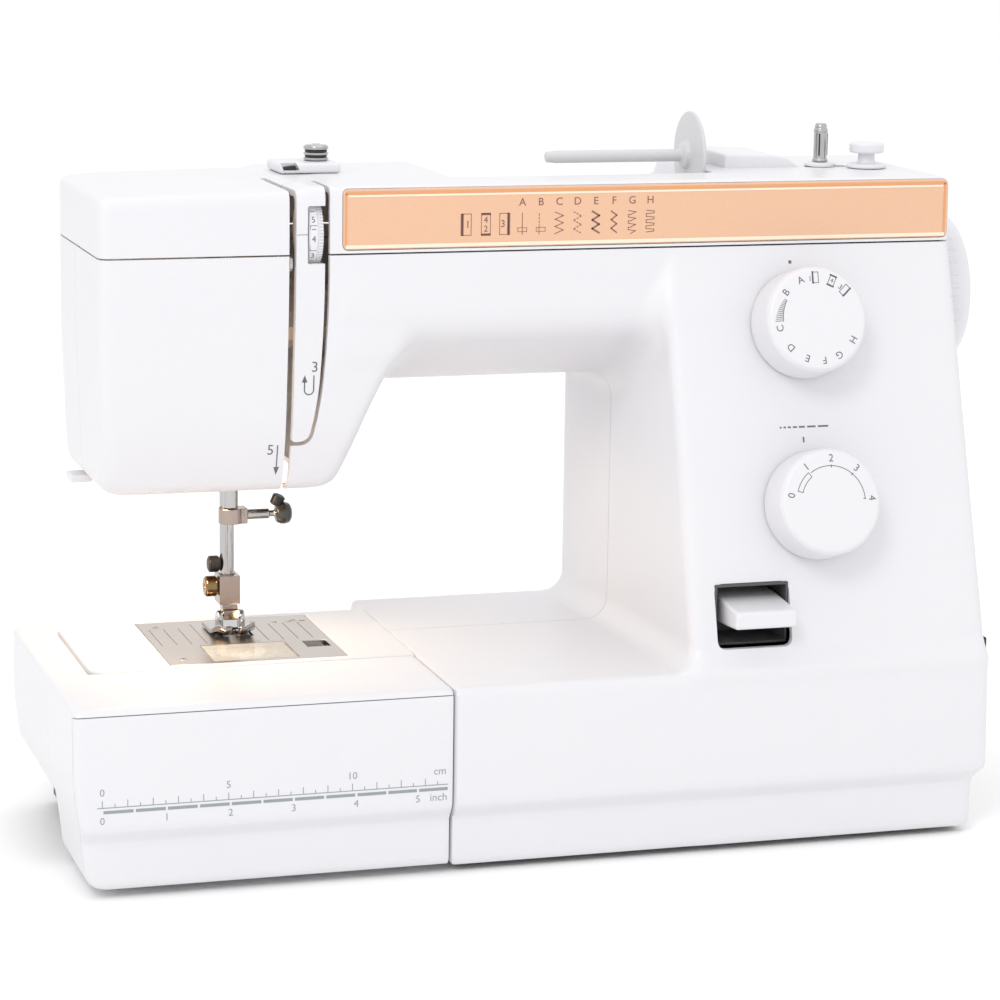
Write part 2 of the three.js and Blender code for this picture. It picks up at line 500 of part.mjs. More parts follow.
node("needle_bar", join(
  rod(3.2, needleAt, AXIS.z, 128.3, 258),
  rod(3, [0, NEEDLE.y, STUD_Z], AXIS.x, NEEDLE.x, -108.8, 16),
), "chrome");
function connectingRod() {
  const [x0, x1] = [-113.6, -109];
  const top = ARM_SHAFT.z + CRANK_RADIUS;
  const link = box(x0, x1, NEEDLE.y - 3.5, NEEDLE.y + 3.5, STUD_Z, top);
  const eyes = [STUD_Z, top].map((z) => rod(6, [0, NEEDLE.y, z], AXIS.x, x0, x1));
  const pin = rod(3, [0, NEEDLE.y, top], AXIS.x, x1 - 1, -107.2, 16);
  return cut(join(link, ...eyes, pin), rod(3.4, [0, NEEDLE.y, STUD_Z], AXIS.x, x0 - 1, x1 + 1, 16));
}
node("connecting_rod", connectingRod(), "steel");
node("needle_clamp", cut(
  join(rod(5.2, needleAt, AXIS.z, 121.6, 128), box(NEEDLE.x, NEEDLE.x + 6.5, NEEDLE.y - 3.5, NEEDLE.y + 3.5, 121.6, 128)),
  rod(1.3, needleAt, AXIS.z, 120, 130, 12),
), "chrome");
node("needle_clamp_screw", turned([
  [0, 0], [2, 0], [2, 8.5], [3, 8.5], [3, 10.5], [4.4, 11.5], [4.4, 18], [3.2, 19.3], [0, 19.3],
], [NEEDLE.x + 6.8, NEEDLE.y, 124.8], AXIS.x, 20), "black");
node("needle", turned([
  [0, NEEDLE.tip], [0.5, NEEDLE.tip + 6], [0.5, 112], [1, 114], [1, 127.5], [0, 127.5],
], needleAt, AXIS.z, 12), "chrome");
node("take_up_lever", alongX(outline([
  [15, 223, 4], [15, 233, 4], [-20, 241, 3], [-31, 241, 3], [-31, 235, 3], [-10, 232, 3], [4, 223, 3],
]), -106.7, -105.1, 4), "chrome");

node("presser_bar", turned([
  [0, 88], [3.15, 88], [3.15, 196], [6, 196], [6, 199.7], [3.15, 199.7], [3.15, 246], [0, 246],
], presserAt, AXIS.z), "chrome");
node("presser_spring", ring(3.5, 5.9, presserAt, AXIS.z, 200, 223.7, 20), "steel");
const FOOT_PIN = { y: 35, z: 81 }; // the foot snaps on here, behind the needle's path
const footPinAt = [0, FOOT_PIN.y, FOOT_PIN.z];
function footHolder() {
  const nose = alongX(outline([
    [35.5, 92], [35.5, 84.6], [34.6, 83], [31.8, 83], [31.8, 78.9], [38.4, 78.9], [41, 85], [41, 92],
  ]), -119.5, -113);
  return cut(join(box(-120.6, -111.8, 35.5, 46, 84.9, 97), nose),
    rod(3.45, presserAt, AXIS.z, 86, 110),
    rod(1.3, footPinAt, AXIS.x, -130, -100, 12));
}
node("foot_holder", footHolder(), "chrome");
node("foot_holder_screw", turned([
  [0, 0], [2, 0], [2, 1], [4.2, 1], [4.2, 4.6], [3.4, 5.2], [0, 5.2],
], [-120.9, 41, 92], AXIS.x.clone().negate(), 20), "black");

function presserFoot() {
  const sole = alongX(outline([
    [18, 77.6, 1], [19.5, 75.2, 1.2], [24, 74.1, 2], [46, 74.1], [46, 75.9], [24, 75.9, 1], [20, 78.4, 1],
  ]), NEEDLE.x - 9, NEEDLE.x + 9, 4);
  const ears = [-122, -112.6].map((x) => box(x, x + 2, 31.5, 38.5, 75, 82.6));
  const pin = rod(1, footPinAt, AXIS.x, -121, -111, 10);
  const slot = box(NEEDLE.x - 4.4, NEEDLE.x + 4.4, NEEDLE.y - 1.6, NEEDLE.y + 1.6, 70, 80);
  return cut(join(sole, ...ears, pin), slot);
}
node("presser_foot", presserFoot(), "chrome");

node("presser_lifter", join(
  rod(3, [LIFTER.x, 0, LIFTER.z], AXIS.y, 37.6, 84, 16),
  box(-112.4, LIFTER.x, 37.6, 44.4, LIFTER.z - 2.4, LIFTER.z + 2.4),
  alongY(outline([
    [LIFTER.x - 5, LIFTER.z + 5, 4], [LIFTER.x - 4.5, 152, 4], [LIFTER.x + 4.5, 152, 4], [LIFTER.x + 5, LIFTER.z + 5, 4],
  ]), 79.5, 86),
), "white");
node("thread_cutter", box(-182, -173, 44, 56, 138.5, HEAD.bottom - GAP), "white");
node("lamp", turned([
  [0, 152], [5, 154], [7, 160], [7, 176], [5, 181], [7.5, 182], [7.5, 198], [0, 198],
], [-152, 18, 0], AXIS.z), "glass");

// ---------------------------------------------------------------- controls
const dialProfile = (proud) => [
  [0, -9], [4, -9], [4, 1], [DIAL.r, 1], [DIAL.r, 3], [DIAL.r - 0.9, proud - 2], [DIAL.r - 2.4, proud], [0, proud],
];
node("pattern_dial", turned(dialProfile(DIAL.proud), onPanel(DIAL.x, PATTERN_DIAL_Z), AXIS.panel, 32), "white");
node("length_dial", turned(dialProfile(DIAL.proud), onPanel(DIAL.x, LENGTH_DIAL_Z), AXIS.panel, 32), "white");
node("tension_dial", rod(TENSION.r, [0, TENSION.y, TENSION.z], AXIS.x, TENSION.x, TENSION.x + TENSION.wide, 28), "white");
node("reverse_lever", alongX(outline([
  [-87.6, 91.5, 1.5], [-87.6, 98.6, 1.5], [-36, 101, 4], [-36, 90, 4],
].reverse()), LEVER.left, LEVER.right), "white");
node("drop_feed_lever", box(-32, -26, 77, 87, 41.5, 46.5), "white");
node("power_switch", box(177, 184, -74, -58, 66, 79), "black");
node("power_inlet", cut(box(166, 181, -30.5, -5.5, 29.5, 52.5), box(170, 190, -26, -10, 34, 48)), "black");

// ---------------------------------------------------------------- top of the machine
node("spool_pin", join(
  rod(SPOOL.rodR, [0, SPOOL.y, SPOOL.z], AXIS.x, SPOOL.rodFrom, SPOOL.discX + 1),
  rod(SPOOL.discR, [0, SPOOL.y, SPOOL.z], AXIS.x, SPOOL.discX, SPOOL.discX + SPOOL.discThick, 28),
), "white");
const ON_TOP = TOP + GAP;
node("winder_slider", join(
  rod(6.5, [WINDER.x, WINDER.y, 0], AXIS.z, ON_TOP, ON_TOP + 1.6),
  rod(3.6, [WINDER.x, WINDER.y, 0], AXIS.z, 259, ON_TOP + 0.5),
), "white");
node("winder_spindle", turned([
  [0, ON_TOP + 1.9], [3.4, ON_TOP + 1.9], [3.4, ON_TOP + 3.4], [3, ON_TOP + 3.4], [3, 285.5], [2.2, 287], [0, 287],
], [WINDER.x, WINDER.y, 0], AXIS.z), "chrome");
node("winder_stopper", turned([
  [0, ON_TOP], [8.5, ON_TOP], [8.5, ON_TOP + 1.6], [4.3, ON_TOP + 2.6], [4.3, 275], [7.4, 275.6], [7.4, 279],
  [6.6, 279.6], [0, 279.6],
], [STOPPER.x, STOPPER.y, 0], AXIS.z), "white");
node("upper_thread_guide", cut(
  alongZ(outline([
    [GUIDE.left, GUIDE.front, 4], [GUIDE.right, GUIDE.front, 4], [GUIDE.right, GUIDE.back, 6], [GUIDE.left, GUIDE.back, 6],
  ]), ON_TOP, GUIDE.top),
  box(GUIDE.left + 3, GUIDE.left + 8, GUIDE.front - 1, GUIDE.front + 9, ON_TOP + 1.2, FAR),
), "white");
node("pretension_cap", turned([
  [0, 0], [5.2, 0], [5.2, 1.5], [3.4, 2], [3.4, 3], [5, 3.4], [5, 5.8], [4.2, 6.6], [0, 6.6],
], [GUIDE.capX, GUIDE.capY, GUIDE.top + GAP], AXIS.z), "chrome");

function carryingHandle() {
  const [y0, y1] = [HANDLE.y - HANDLE.thick / 2, HANDLE.y + HANDLE.thick / 2];
  const top = HANDLE.pivotZ + HANDLE.thick / 2;
  const bail = alongY(outline([
    [HANDLE.left, HANDLE.low, 8], [HANDLE.right, HANDLE.low, 8], [HANDLE.right, top], [HANDLE.left, top],
  ]), y0, y1);
  const roundTop = alongX(outline([
    [y0, HANDLE.low - 1], [y1, HANDLE.low - 1], [y1, top, 4.4], [y0, top, 4.4],
  ]), HANDLE.left - 1, HANDLE.right + 1);
  const room = alongY(outline([
    [HANDLE.left + HANDLE.leg, HANDLE.low + 12, 5], [HANDLE.right - HANDLE.leg, HANDLE.low + 12, 5],
    [HANDLE.right - HANDLE.leg, top + 1], [HANDLE.left + HANDLE.leg, top + 1],
  ]), y0 - 1, y1 + 1);
  const pins = [[HANDLE.left - 6, HANDLE.left + 1], [HANDLE.right - 1, HANDLE.right + 6]].map(([from, to]) =>
    rod(2.5, [0, HANDLE.y, HANDLE.pivotZ], AXIS.x, from, to, 16));
  return join(cut(common(bail, roundTop), room), ...pins);
}
node("carrying_handle", carryingHandle(), "white");

export default machine;
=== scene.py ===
"""Looks of a free-arm household sewing machine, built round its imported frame.

Sizes are in millimetres above the datum plane under the casing, and every mesh is turned
into metres when it is made.
+X runs along the arm to the handwheel, -Y towards the person sewing, +Z up.
"""
import json
import math

import bmesh
import bpy
import numpy as np
from mathutils import Matrix, Vector
from mathutils.bvhtree import BVHTree

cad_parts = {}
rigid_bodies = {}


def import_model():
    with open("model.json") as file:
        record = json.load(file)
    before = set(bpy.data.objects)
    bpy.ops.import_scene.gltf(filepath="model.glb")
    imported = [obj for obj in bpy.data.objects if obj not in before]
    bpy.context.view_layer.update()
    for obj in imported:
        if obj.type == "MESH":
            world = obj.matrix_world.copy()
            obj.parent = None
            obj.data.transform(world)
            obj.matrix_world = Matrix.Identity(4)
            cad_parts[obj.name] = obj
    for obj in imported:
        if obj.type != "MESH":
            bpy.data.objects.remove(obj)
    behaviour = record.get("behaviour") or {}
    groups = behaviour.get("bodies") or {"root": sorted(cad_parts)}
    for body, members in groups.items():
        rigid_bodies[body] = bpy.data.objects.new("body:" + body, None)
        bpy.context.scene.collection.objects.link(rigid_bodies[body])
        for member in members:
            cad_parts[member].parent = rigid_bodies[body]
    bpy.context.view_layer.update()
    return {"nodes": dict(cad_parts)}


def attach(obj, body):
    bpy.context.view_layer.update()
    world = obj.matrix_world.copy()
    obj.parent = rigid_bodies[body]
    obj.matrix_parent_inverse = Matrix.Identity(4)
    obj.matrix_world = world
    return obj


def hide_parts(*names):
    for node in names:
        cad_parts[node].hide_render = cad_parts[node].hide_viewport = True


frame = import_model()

MM = 0.001
LIFT = 4.0  # the feet hold the datum plane this far up
FAR = 400.0

# -------------------- sizes of the casing
BED_TOP, BED_LEFT, SEAM_X = 73.5, -204.5, -51.5
BASE_FRONT, BASE_BACK, BASE_RIGHT, BASE_LOW = -84.0, 84.0, 182.0, -1.0
SKIRT, SKIRT_TOP, LEDGE = 4.5, 19.0, 25.0
PANEL_Y, PANEL_Z, SLOPE = -33.0, 240.0, 0.29
LEAN = math.atan(SLOPE)
TOP, BACK, RIGHT = 268.5, 78.0, 178.5
ARM_LOW, HEAD_LOW = 182.0, 142.0
GROOVE_Z, SPLIT_Y = 241.5, 20.0
WALL = 2.6
GAP = 0.3
SLOT_LEFT, SLOT_RIGHT = -107.2, -92.6
SLOT_LEFT_WIDE, SLOT_RIGHT_WIDE = 2.6, 2.0
NEEDLE_X, NEEDLE_Y = -117.3, 29.0
PRESSER_X, PRESSER_Y = -116.3, 41.0


def panel_y(z):
    return PANEL_Y - SLOPE * (PANEL_Z - z)


# -------------------- outlines and prisms
def rounded(corners, steps=8):
    """Corners (u, v) or (u, v, radius) as points, with each radius drawn as a curve."""
    points = []
    for i, corner in enumerate(corners):
        at = np.array(corner[:2], float)
        radius = corner[2] if len(corner) > 2 else 0
        if not radius:
            points.append(at)
            continue
        ends = []
        for other in (corners[i - 1], corners[(i + 1) % len(corners)]):
            way = np.array(other[:2], float) - at
            ends.append(at + way / np.linalg.norm(way) * radius)
        for t in np.linspace(0, 1, steps + 1):
            points.append((1 - t) ** 2 * ends[0] + 2 * t * (1 - t) * at + t * t * ends[1])
    return np.array(points)


def rectangle(u0, u1, v0, v1, radius=0):
    return [(u0, v0, radius), (u1, v0, radius), (u1, v1, radius), (u0, v1, radius)]


# -------------------- forms as distance fields
class Block:
    """A box of space sampled at a steady step, where outlines become distances below 0 inside."""

    def __init__(self, low, high, step):
        self.low, self.step = np.array(low, float), step
        self.axes = [np.arange(a, b + step, step) for a, b in zip(low, high)]

    def prism(self, along, corners):
        """Distance to an outline that runs on without end along one axis."""
        a, b = [i for i in range(3) if i != "xyz".index(along)]
        u, v = np.meshgrid(self.axes[a], self.axes[b], indexing="ij")
        points = rounded(corners)
        nearest = np.full(u.shape, 1e9)
        inside = np.zeros(u.shape, bool)
        for (pu, pv), (qu, qv) in zip(points, np.roll(points, -1, axis=0)):
            eu, ev = qu - pu, qv - pv
            length = eu * eu + ev * ev
            if length < 1e-12:
                continue
            t = np.clip(((u - pu) * eu + (v - pv) * ev) / length, 0, 1)
            nearest = np.minimum(nearest, (u - pu - t * eu) ** 2 + (v - pv - t * ev) ** 2)
            if ev:
                crosses = ((pv <= v) != (qv <= v)) & (u < pu + (v - pv) * eu / ev)
                inside ^= crosses
        flat = np.where(inside, -1, 1) * np.sqrt(nearest)
        return np.expand_dims(flat, "xyz".index(along)).astype(np.float32)

    def slab(self, along, low, high):
        k = "xyz".index(along)
        c = self.axes[k]
        shape = [1, 1, 1]
        shape[k] = len(c)
        return np.maximum(low - c, c - high).reshape(shape).astype(np.float32)

    def axis(self, name):
        k = "xyz".index(name)
        shape = [1, 1, 1]
        shape[k] = len(self.axes[k])
        return self.axes[k].reshape(shape)

    def skin(self, field, level=0.0):
        """The surface where the field has that level, as points and quads that face outwards."""
        f = (field - level).astype(np.float64)
        inside = f < 0
        corners = [(i, j, k) for i in (0, 1) for j in (0, 1) for k in (0, 1)]
        shape = tuple(n - 1 for n in f.shape)
        filled = sum(inside[i:i + shape[0], j:j + shape[1], k:k + shape[2]].astype(np.int8) for i,
            j, k in corners)
        mixed = (filled > 0) & (filled < 8)
        cells = np.argwhere(mixed)
        index = np.full(shape, -1, np.int32)
        index[mixed] = np.arange(len(cells))
        total, count = np.zeros((len(cells), 3)), np.zeros((len(cells), 1))
        for a in range(3):
            others = [i for i in range(3) if i != a]
            for du in (0, 1):
                for dv in (0, 1):
                    start = np.zeros(3, int)
                    start[others[0]], start[others[1]] = du, dv
                    end = start.copy()
                    end[a] = 1
                    v0, v1 = f[tuple((cells + start).T)], f[tuple((cells + end).T)]
                    cross = (v0 < 0) != (v1 < 0)
                    t = (v0[cross] / (v0[cross] - v1[cross]))[:, None]
                    total[cross] += start + t * (end - start)
                    count[cross] += 1
        verts = cells + total / count
        gradients = np.gradient(f)
        top = np.array(f.shape) - 1.001
        for _ in range(3):  # slide each point on to the surface
            clipped = np.clip(verts, 0, top)
            base = clipped.astype(int)
            part = clipped - base
            value, slope = np.zeros(len(verts)), np.zeros((len(verts), 3))
            for c in corners:
                w = np.prod(np.where(np.array(c) == 1, part, 1 - part), axis=1)
                at = tuple((base + np.array(c)).T)
                value += w * f[at]
                slope += w[:, None] * np.stack([g[at] for g in gradients], 1)
            size = np.maximum((slope ** 2).sum(1), 1e-6)
            verts = verts - np.clip(value / size, -0.5, 0.5)[:, None] * slope
        quads = []
        for a in range(3):
            b, c = [(1, 2), (2, 0), (0, 1)][a]
            cut = [slice(1, -1)] * 3
            cut[a] = slice(None, -1)
            ahead = list(cut)
            ahead[a] = slice(1, None)
            here, there = inside[tuple(cut)], inside[tuple(ahead)]
            at = np.argwhere(here != there) + np.array([0 if i == a else 1 for i in range(3)])
            ub, uc = np.eye(3, dtype=int)[b], np.eye(3, dtype=int)[c]
            ring = [index[tuple((at + o).T)] for o in (-ub - uc, -uc, 0 * ub, -ub)]
            ring = np.stack(ring, 1)
            outward = inside[tuple(at.T)]
            quads.append(np.where(outward[:, None], ring, ring[:, ::-1]))
        return self.low + verts * self.step, np.concatenate(quads)


def meet(radius, *fields):
    """What is in all the fields, with the edges between them rounded."""
    a = fields[0]
    for b in fields[1:]:
        if radius:
            u, v = np.maximum(radius + a, 0), np.maximum(radius + b, 0)
            a = np.minimum(-radius, np.maximum(a, b)) + np.sqrt(u * u + v * v)
        else:
            a = np.maximum(a, b)
    return a


def merge(radius, a, b):
    """What is in either field, with the hollow edge between filled to a radius that may vary."""
    u, v = np.maximum(radius - a, 0), np.maximum(radius - b, 0)
    return np.maximum(radius, np.minimum(a, b)) - np.sqrt(u * u + v * v)


def ramp(x, start, end):
    """0 before start, 1 after end, smooth between; start may be the larger."""
    t = np.clip((x - start) / (end - start), 0, 1)
    return t * t * (3 - 2 * t)


# -------------------- meshes
def new_object(name, points, faces):
    """Points in millimetres above the datum plane become a mesh in the frame."""
    p = np.array(points, float).reshape(-1, 3)
    p[:, 2] += LIFT
    mesh = bpy.data.meshes.new(name)
    mesh.from_pydata((p * MM).tolist(), [], [list(map(int, f)) for f in faces])
    mesh.update()
    made = bpy.data.objects.new(name, mesh)
    bpy.context.scene.collection.objects.link(made)
    return made


def lay(points2, along, at):
    """(u, v) points as points in space at one place along an axis."""
    u, v = points2[:, 0], points2[:, 1]
    w = np.full(len(u), float(at))
    return np.stack({"x": (w, u, v), "y": (u, w, v), "z": (u, v, w)}[along], 1)


def prism(along, corners, low, high, name="cutter", steps=8):
    points2 = rounded(corners, steps)
    area = np.sum(points2[:, 0] * np.roll(points2[:, 1], -1) - np.roll(points2[:, 0],
        -1) * points2[:, 1])
    if (area < 0) != (along == "y"):
        points2 = points2[::-1]
    n = len(points2)
    points = np.concatenate([lay(points2, along, low), lay(points2, along, high)])
    faces = [list(range(n))[::-1], [n + i for i in range(n)]]
    faces += [[i, (i + 1) % n, n + (i + 1) % n, n + i] for i in range(n)]
    return new_object(name, points, faces)


def brick(x0, x1, y0, y1, z0, z1, name="cutter"):
    return prism("z", rectangle(x0, x1, y0, y1), z0, z1, name)


def basis(axis):
    """Two unit vectors square to an axis, and the axis."""
    w = Vector(axis).normalized()
    u = Vector((0, 0, 1)).cross(w) if abs(w.z) < 0.9 else Vector((1, 0, 0))
    u = (u - w * u.dot(w)).normalized()
    return u, w.cross(u), w


def lathe(name, profile, at, axis, sides=48):
    """A turned piece: (radius, height) points, from the axis at one end to the other."""
    u, v, w = basis(axis)
    at = Vector(at)
    points, rows = [], []
    for r, h in profile:
        if r < 1e-6:
            rows.append([len(points)])
            points.append(at + w * h)
            continue
        rows.append(list(range(len(points), len(points) + sides)))
        for i in range(sides):
            a = 2 * math.pi * i / sides
            points.append(at + w * h + (u * math.cos(a) + v * math.sin(a)) * r)
    faces = []
    for low, high in zip(rows, rows[1:]):
        for i in range(sides):
            j = (i + 1) % sides
            face = [low[i % len(low)], low[j % len(low)], high[j % len(high)], high[i % len(high)]]
            face = list(dict.fromkeys(face))
            if len(face) > 2:
                faces.append(face)
    return new_object(name, [tuple(p) for p in points], faces)


def curved(profile, radius=0.4, steps=3):
    """A lathe profile with every corner off the axis eased by a small radius."""
    eased = []
    for i, (r, h) in enumerate(profile):
        if i in (0, len(profile) - 1) or r < 1e-6:
            eased.append((r, h))
            continue
        at = np.array((r, h), float)
        before, after = np.array(profile[i - 1], float), np.array(profile[i + 1], float)
        ends = []
        for other in (before, after):
            way = other - at
            length = np.linalg.norm(way)
            ends.append(at + way / length * min(radius, length * 0.45))
        for t in np.linspace(0, 1, steps + 1):
            eased.append(tuple((1 - t) ** 2 * ends[0] + 2 * t * (1 - t) * at + t * t * ends[1]))
    return eased


def settle(made):
    """Turns what an object's modifiers give into its own plain mesh."""
    bpy.context.view_layer.update()
    graph = bpy.context.evaluated_depsgraph_get()
    mesh = bpy.data.meshes.new_from_object(made.evaluated_get(graph))
    old = made.data
    made.modifiers.clear()
    made.data = mesh
    mesh.name = made.name
    bpy.data.meshes.remove(old)
    return made


def carve(start, name, steps):
    """Copies a closed solid, then cuts, keeps or adds others, which are used up unless kept."""
    made = bpy.data.objects.new(name, start.data.copy())
    bpy.context.scene.collection.objects.link(made)
    for operation, tool in steps:
        mod = made.modifiers.new("carve", "BOOLEAN")
        mod.operation, mod.solver, mod.object = operation, "MANIFOLD", tool
    settle(made)
    for tool in {t for _, t in steps if not t.get("keep")}:
        discard(tool)
    return made


def discard(*objects):
    for o in objects:
        mesh = o.data
        bpy.data.objects.remove(o)
        if mesh and not mesh.users:
            bpy.data.meshes.remove(mesh)


def soften(made, width, segments=3, angle=35):
    """Rounds the edges of a solid that has few faces."""
    mod = made.modifiers.new("edges", "BEVEL")
    mod.width, mod.segments, mod.limit_method = width * MM, segments, "ANGLE"
    mod.angle_limit = math.radians(angle)
    mod.harden_normals = False
    return made


def dress(made, material, body="machine", replaces=(), sharp=38):
    """Gives a piece its finish and its body, and shades it smooth up to its sharp edges."""
    made.data.materials.clear()
    made.data.materials.append(material)
    for face in made.data.polygons:
        face.use_smooth = True
    made.data.set_sharp_from_angle(angle=math.radians(sharp))
    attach(made, body)
    if replaces:
        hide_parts(*([replaces] if isinstance(replaces, str) else replaces))
    return made


# -------------------- materials
class Value:
    """A node's output socket, with arithmetic that adds Math nodes."""

    def __init__(self, nodes, socket):
        self.nodes, self.socket = nodes, socket

    def _math(self, operation, a, b=0.0):
        return self.nodes.add("ShaderNodeMath", {"operation": operation}, {0: a, 1: b})

    def __add__(self, other): return self._math("ADD", self, other)
    def __radd__(self, other): return self._math("ADD", other, self)
    def __sub__(self, other): return self._math("SUBTRACT", self, other)
    def __rsub__(self, other): return self._math("SUBTRACT", other, self)
    def __mul__(self, other): return self._math("MULTIPLY", self, other)
    def __rmul__(self, other): return self._math("MULTIPLY", other, self)
    def __truediv__(self, other): return self._math("DIVIDE", self, other)
    def __rtruediv__(self, other): return self._math("DIVIDE", other, self)
    def __gt__(self, other): return self._math("GREATER_THAN", self, other)
    def __lt__(self, other): return self._math("LESS_THAN", self, other)


class Finish:
    """A material being made: its nodes, and one shader whose plain inputs are set by name."""

    def __init__(self, name, **inputs):
        self.material = bpy.data.materials.new(name)
        self.material.use_nodes = True
        self.tree = self.material.node_tree
        self.shader = self.tree.nodes["Principled BSDF"]
        for key, value in inputs.items():
            self.set(key.replace("_", " ").title().replace("Ior", "IOR"), value)

    def set(self, socket, value):
        target = self.shader.inputs[socket]
        if isinstance(value, Value):
            self.tree.links.new(value.socket, target)
        elif hasattr(value, "__len__") and len(value) == 3 and target.type == "RGBA":
            target.default_value = (*value, 1)
        else:
            target.default_value = value

    def add(self, kind, settings=(), inputs=(), output=0):
        node = self.tree.nodes.new(kind)
        for key, value in dict(settings).items():
            if key == "stops":
                ramp_ = node.color_ramp
                while len(ramp_.elements) < len(value):
                    ramp_.elements.new(0.5)
                for element, (place, colour) in zip(ramp_.elements, value):
                    element.position, element.color = place, (*colour, 1)
            else:
                setattr(node, key, value)
        for key, value in dict(inputs).items():
            socket = node.inputs[key]
            if isinstance(value, Value):
                self.tree.links.new(value.socket, socket)
            elif hasattr(value, "__len__") and len(value) == 3 and socket.type == "RGBA":
                socket.default_value = (*value, 1)
            else:
                socket.default_value = value
        return Value(self, node.outputs[output])

    def place(self, scale=(1, 1, 1)):
        """The piece's own coordinates, in metres, stretched by a scale."""
        at = self.add("ShaderNodeTexCoord", output="Object")
        return self.add("ShaderNodeMapping", {"vector_type": "POINT"},
            {"Vector": at, "Scale": scale})

    def noise(self, scale, detail=3.0, roughness=0.5, stretch=(1, 1, 1)):
        return self.add("ShaderNodeTexNoise", {}, {
            "Vector": self.place(stretch), "Scale": scale, "Detail": detail,
                "Roughness": roughness})

    def mix(self, factor, a, b):
        """Colour a at 0, colour b at 1."""
        return self.add("ShaderNodeMix", {"data_type": "RGBA"}, {0: factor, 6: a, 7: b}, output=2)

    def bump(self, height, distance, strength=1.0):
        self.set("Normal", self.add("ShaderNodeBump", {}, {
            "Height": height, "Distance": distance, "Strength": strength}))

    def rough(self, centre, spread, scale):
        self.set("Roughness", self.noise(scale, 4.0) * (2 * spread) + (centre - spread))


def moulded(name, colour, shade, roughness=0.36, grain=0.00003, coat=0.0):
    """Injection-moulded plastic: spark-eroded grain, faint mottling and soft wear of the gloss."""
    f = Finish(name, metallic=0.0, coat_weight=coat, coat_roughness=0.2)
    mottle = f.noise(28.0, 4.0)
    f.set("Base Color", f.mix(mottle, colour, shade))
    f.rough(roughness, 0.05, 90.0)
    f.bump(f.noise(2600.0, 2.0) + f.noise(60.0, 2.0) * 0.6, grain)
    return f.material


def polished(name, colour, roughness=0.12, streak=(1, 1, 1), metallic=1.0, fine=0.04):
    """Plated or ground metal, with hairlines that run along one way of the piece."""
    f = Finish(name, metallic=metallic)
    lines = f.noise(900.0, 3.0, 0.6, streak)
    stain = f.noise(40.0, 3.0)
    f.set("Base Color", f.mix(stain, colour, [c * 0.9 for c in colour]))
    f.set("Roughness", lines * (2 * fine) + (roughness - fine))
    f.bump(lines, 0.000008)
    return f.material


WHITE = moulded("casing_white", (0.735, 0.73, 0.755), (0.72, 0.715, 0.742))
GREY = moulded("spool_grey", (0.62, 0.62, 0.63), (0.59, 0.59, 0.6), 0.4)
PEACH = moulded("strip_peach", (0.75, 0.46, 0.3), (0.74, 0.45, 0.29), 0.28, 0.00001, 0.3)
# Orange of the strip's edge lines: painted shade, not a colour of the strip itself.
PAINTED_SHADE_ORANGE = moulded("strip_painted_shade_orange", (0.72, 0.34, 0.15), (0.7, 0.32, 0.14), 0.35)
BLACK = moulded("black_plastic", (0.012, 0.012, 0.013), (0.018, 0.018, 0.019), 0.42, 0.00004)
# Dark grey: the own colour of the hook cover button, and painted shade in the lever well and the motor
# vents.
DARK_GREY_AND_PAINTED_SHADE = moulded("dark_grey_and_painted_shade", (0.09, 0.085, 0.085), (0.075, 0.07, 0.07), 0.55, 0.00004)
INK = moulded("print_ink", (0.12, 0.12, 0.13), (0.15, 0.15, 0.16), 0.55, 0.000005)
CHROME = polished("chrome_plate", (0.5, 0.49, 0.49), 0.1)
STEEL = polished("brushed_plate_steel", (0.6, 0.54, 0.5), 0.3, (1, 14, 1), fine=0.08)
CASTING = moulded("die_casting", (0.4, 0.4, 0.41), (0.33, 0.33, 0.34), 0.6, 0.00012)
RUBBER = moulded("foot_rubber", (0.02, 0.02, 0.021), (0.03, 0.03, 0.031), 0.85, 0.00006)

# Cream of the strip's bright lines: painted highlight on its rim.
PAINTED_HIGHLIGHT_CREAM = moulded("strip_painted_highlight_cream", (0.95, 0.76, 0.6), (0.94, 0.75, 0.59), 0.3)
STRIP_INK = moulded("strip_ink", (0.2, 0.09, 0.07), (0.24, 0.11, 0.09), 0.5, 0.000005)
RULE_INK = moulded("rule_ink", (0.26, 0.29, 0.3), (0.3, 0.33, 0.34), 0.5, 0.000005)
PLATE_INK = moulded("plate_lines", (0.12, 0.09, 0.08), (0.16, 0.13, 0.11), 0.5, 0.000005)
SHINY_BLACK = moulded("burnished_black", (0.02, 0.02, 0.018), (0.035, 0.033, 0.028), 0.16, 0.00001,
    0.6)
BRASS = polished("dark_brass", (0.3, 0.2, 0.1), 0.18)
# Chrome tinted warm: the warmth is the sewing lamp's light painted into the colour.
CHROME_PAINTED_LAMPLIGHT = polished("chrome_painted_lamplight", (0.42, 0.34, 0.3), 0.18)


def clear_plastic(name, colour, alpha):
    f = Finish(name, base_color=colour, metallic=0.0)
    f.set("Alpha", f.noise(25.0) * 0.06 + (alpha - 0.03))
    f.rough(0.12, 0.04, 120.0)
    f.bump(f.noise(70.0, 2.0), 0.00002)
    return f.material


CLEAR = clear_plastic("clear_cover", (0.86, 0.88, 0.88), 0.35)


def bulb_glass():
    f = Finish("lamp_bulb", roughness=0.2)
    glow = f.noise(60.0)
    f.set("Base Color", f.mix(glow, (1.0, 0.86, 0.66), (1.0, 0.9, 0.74)))
    f.set("Emission Color", f.mix(glow, (1.0, 0.72, 0.42), (1.0, 0.78, 0.5)))
    f.set("Emission Strength", 6.0)
    return f.material


BULB = bulb_glass()

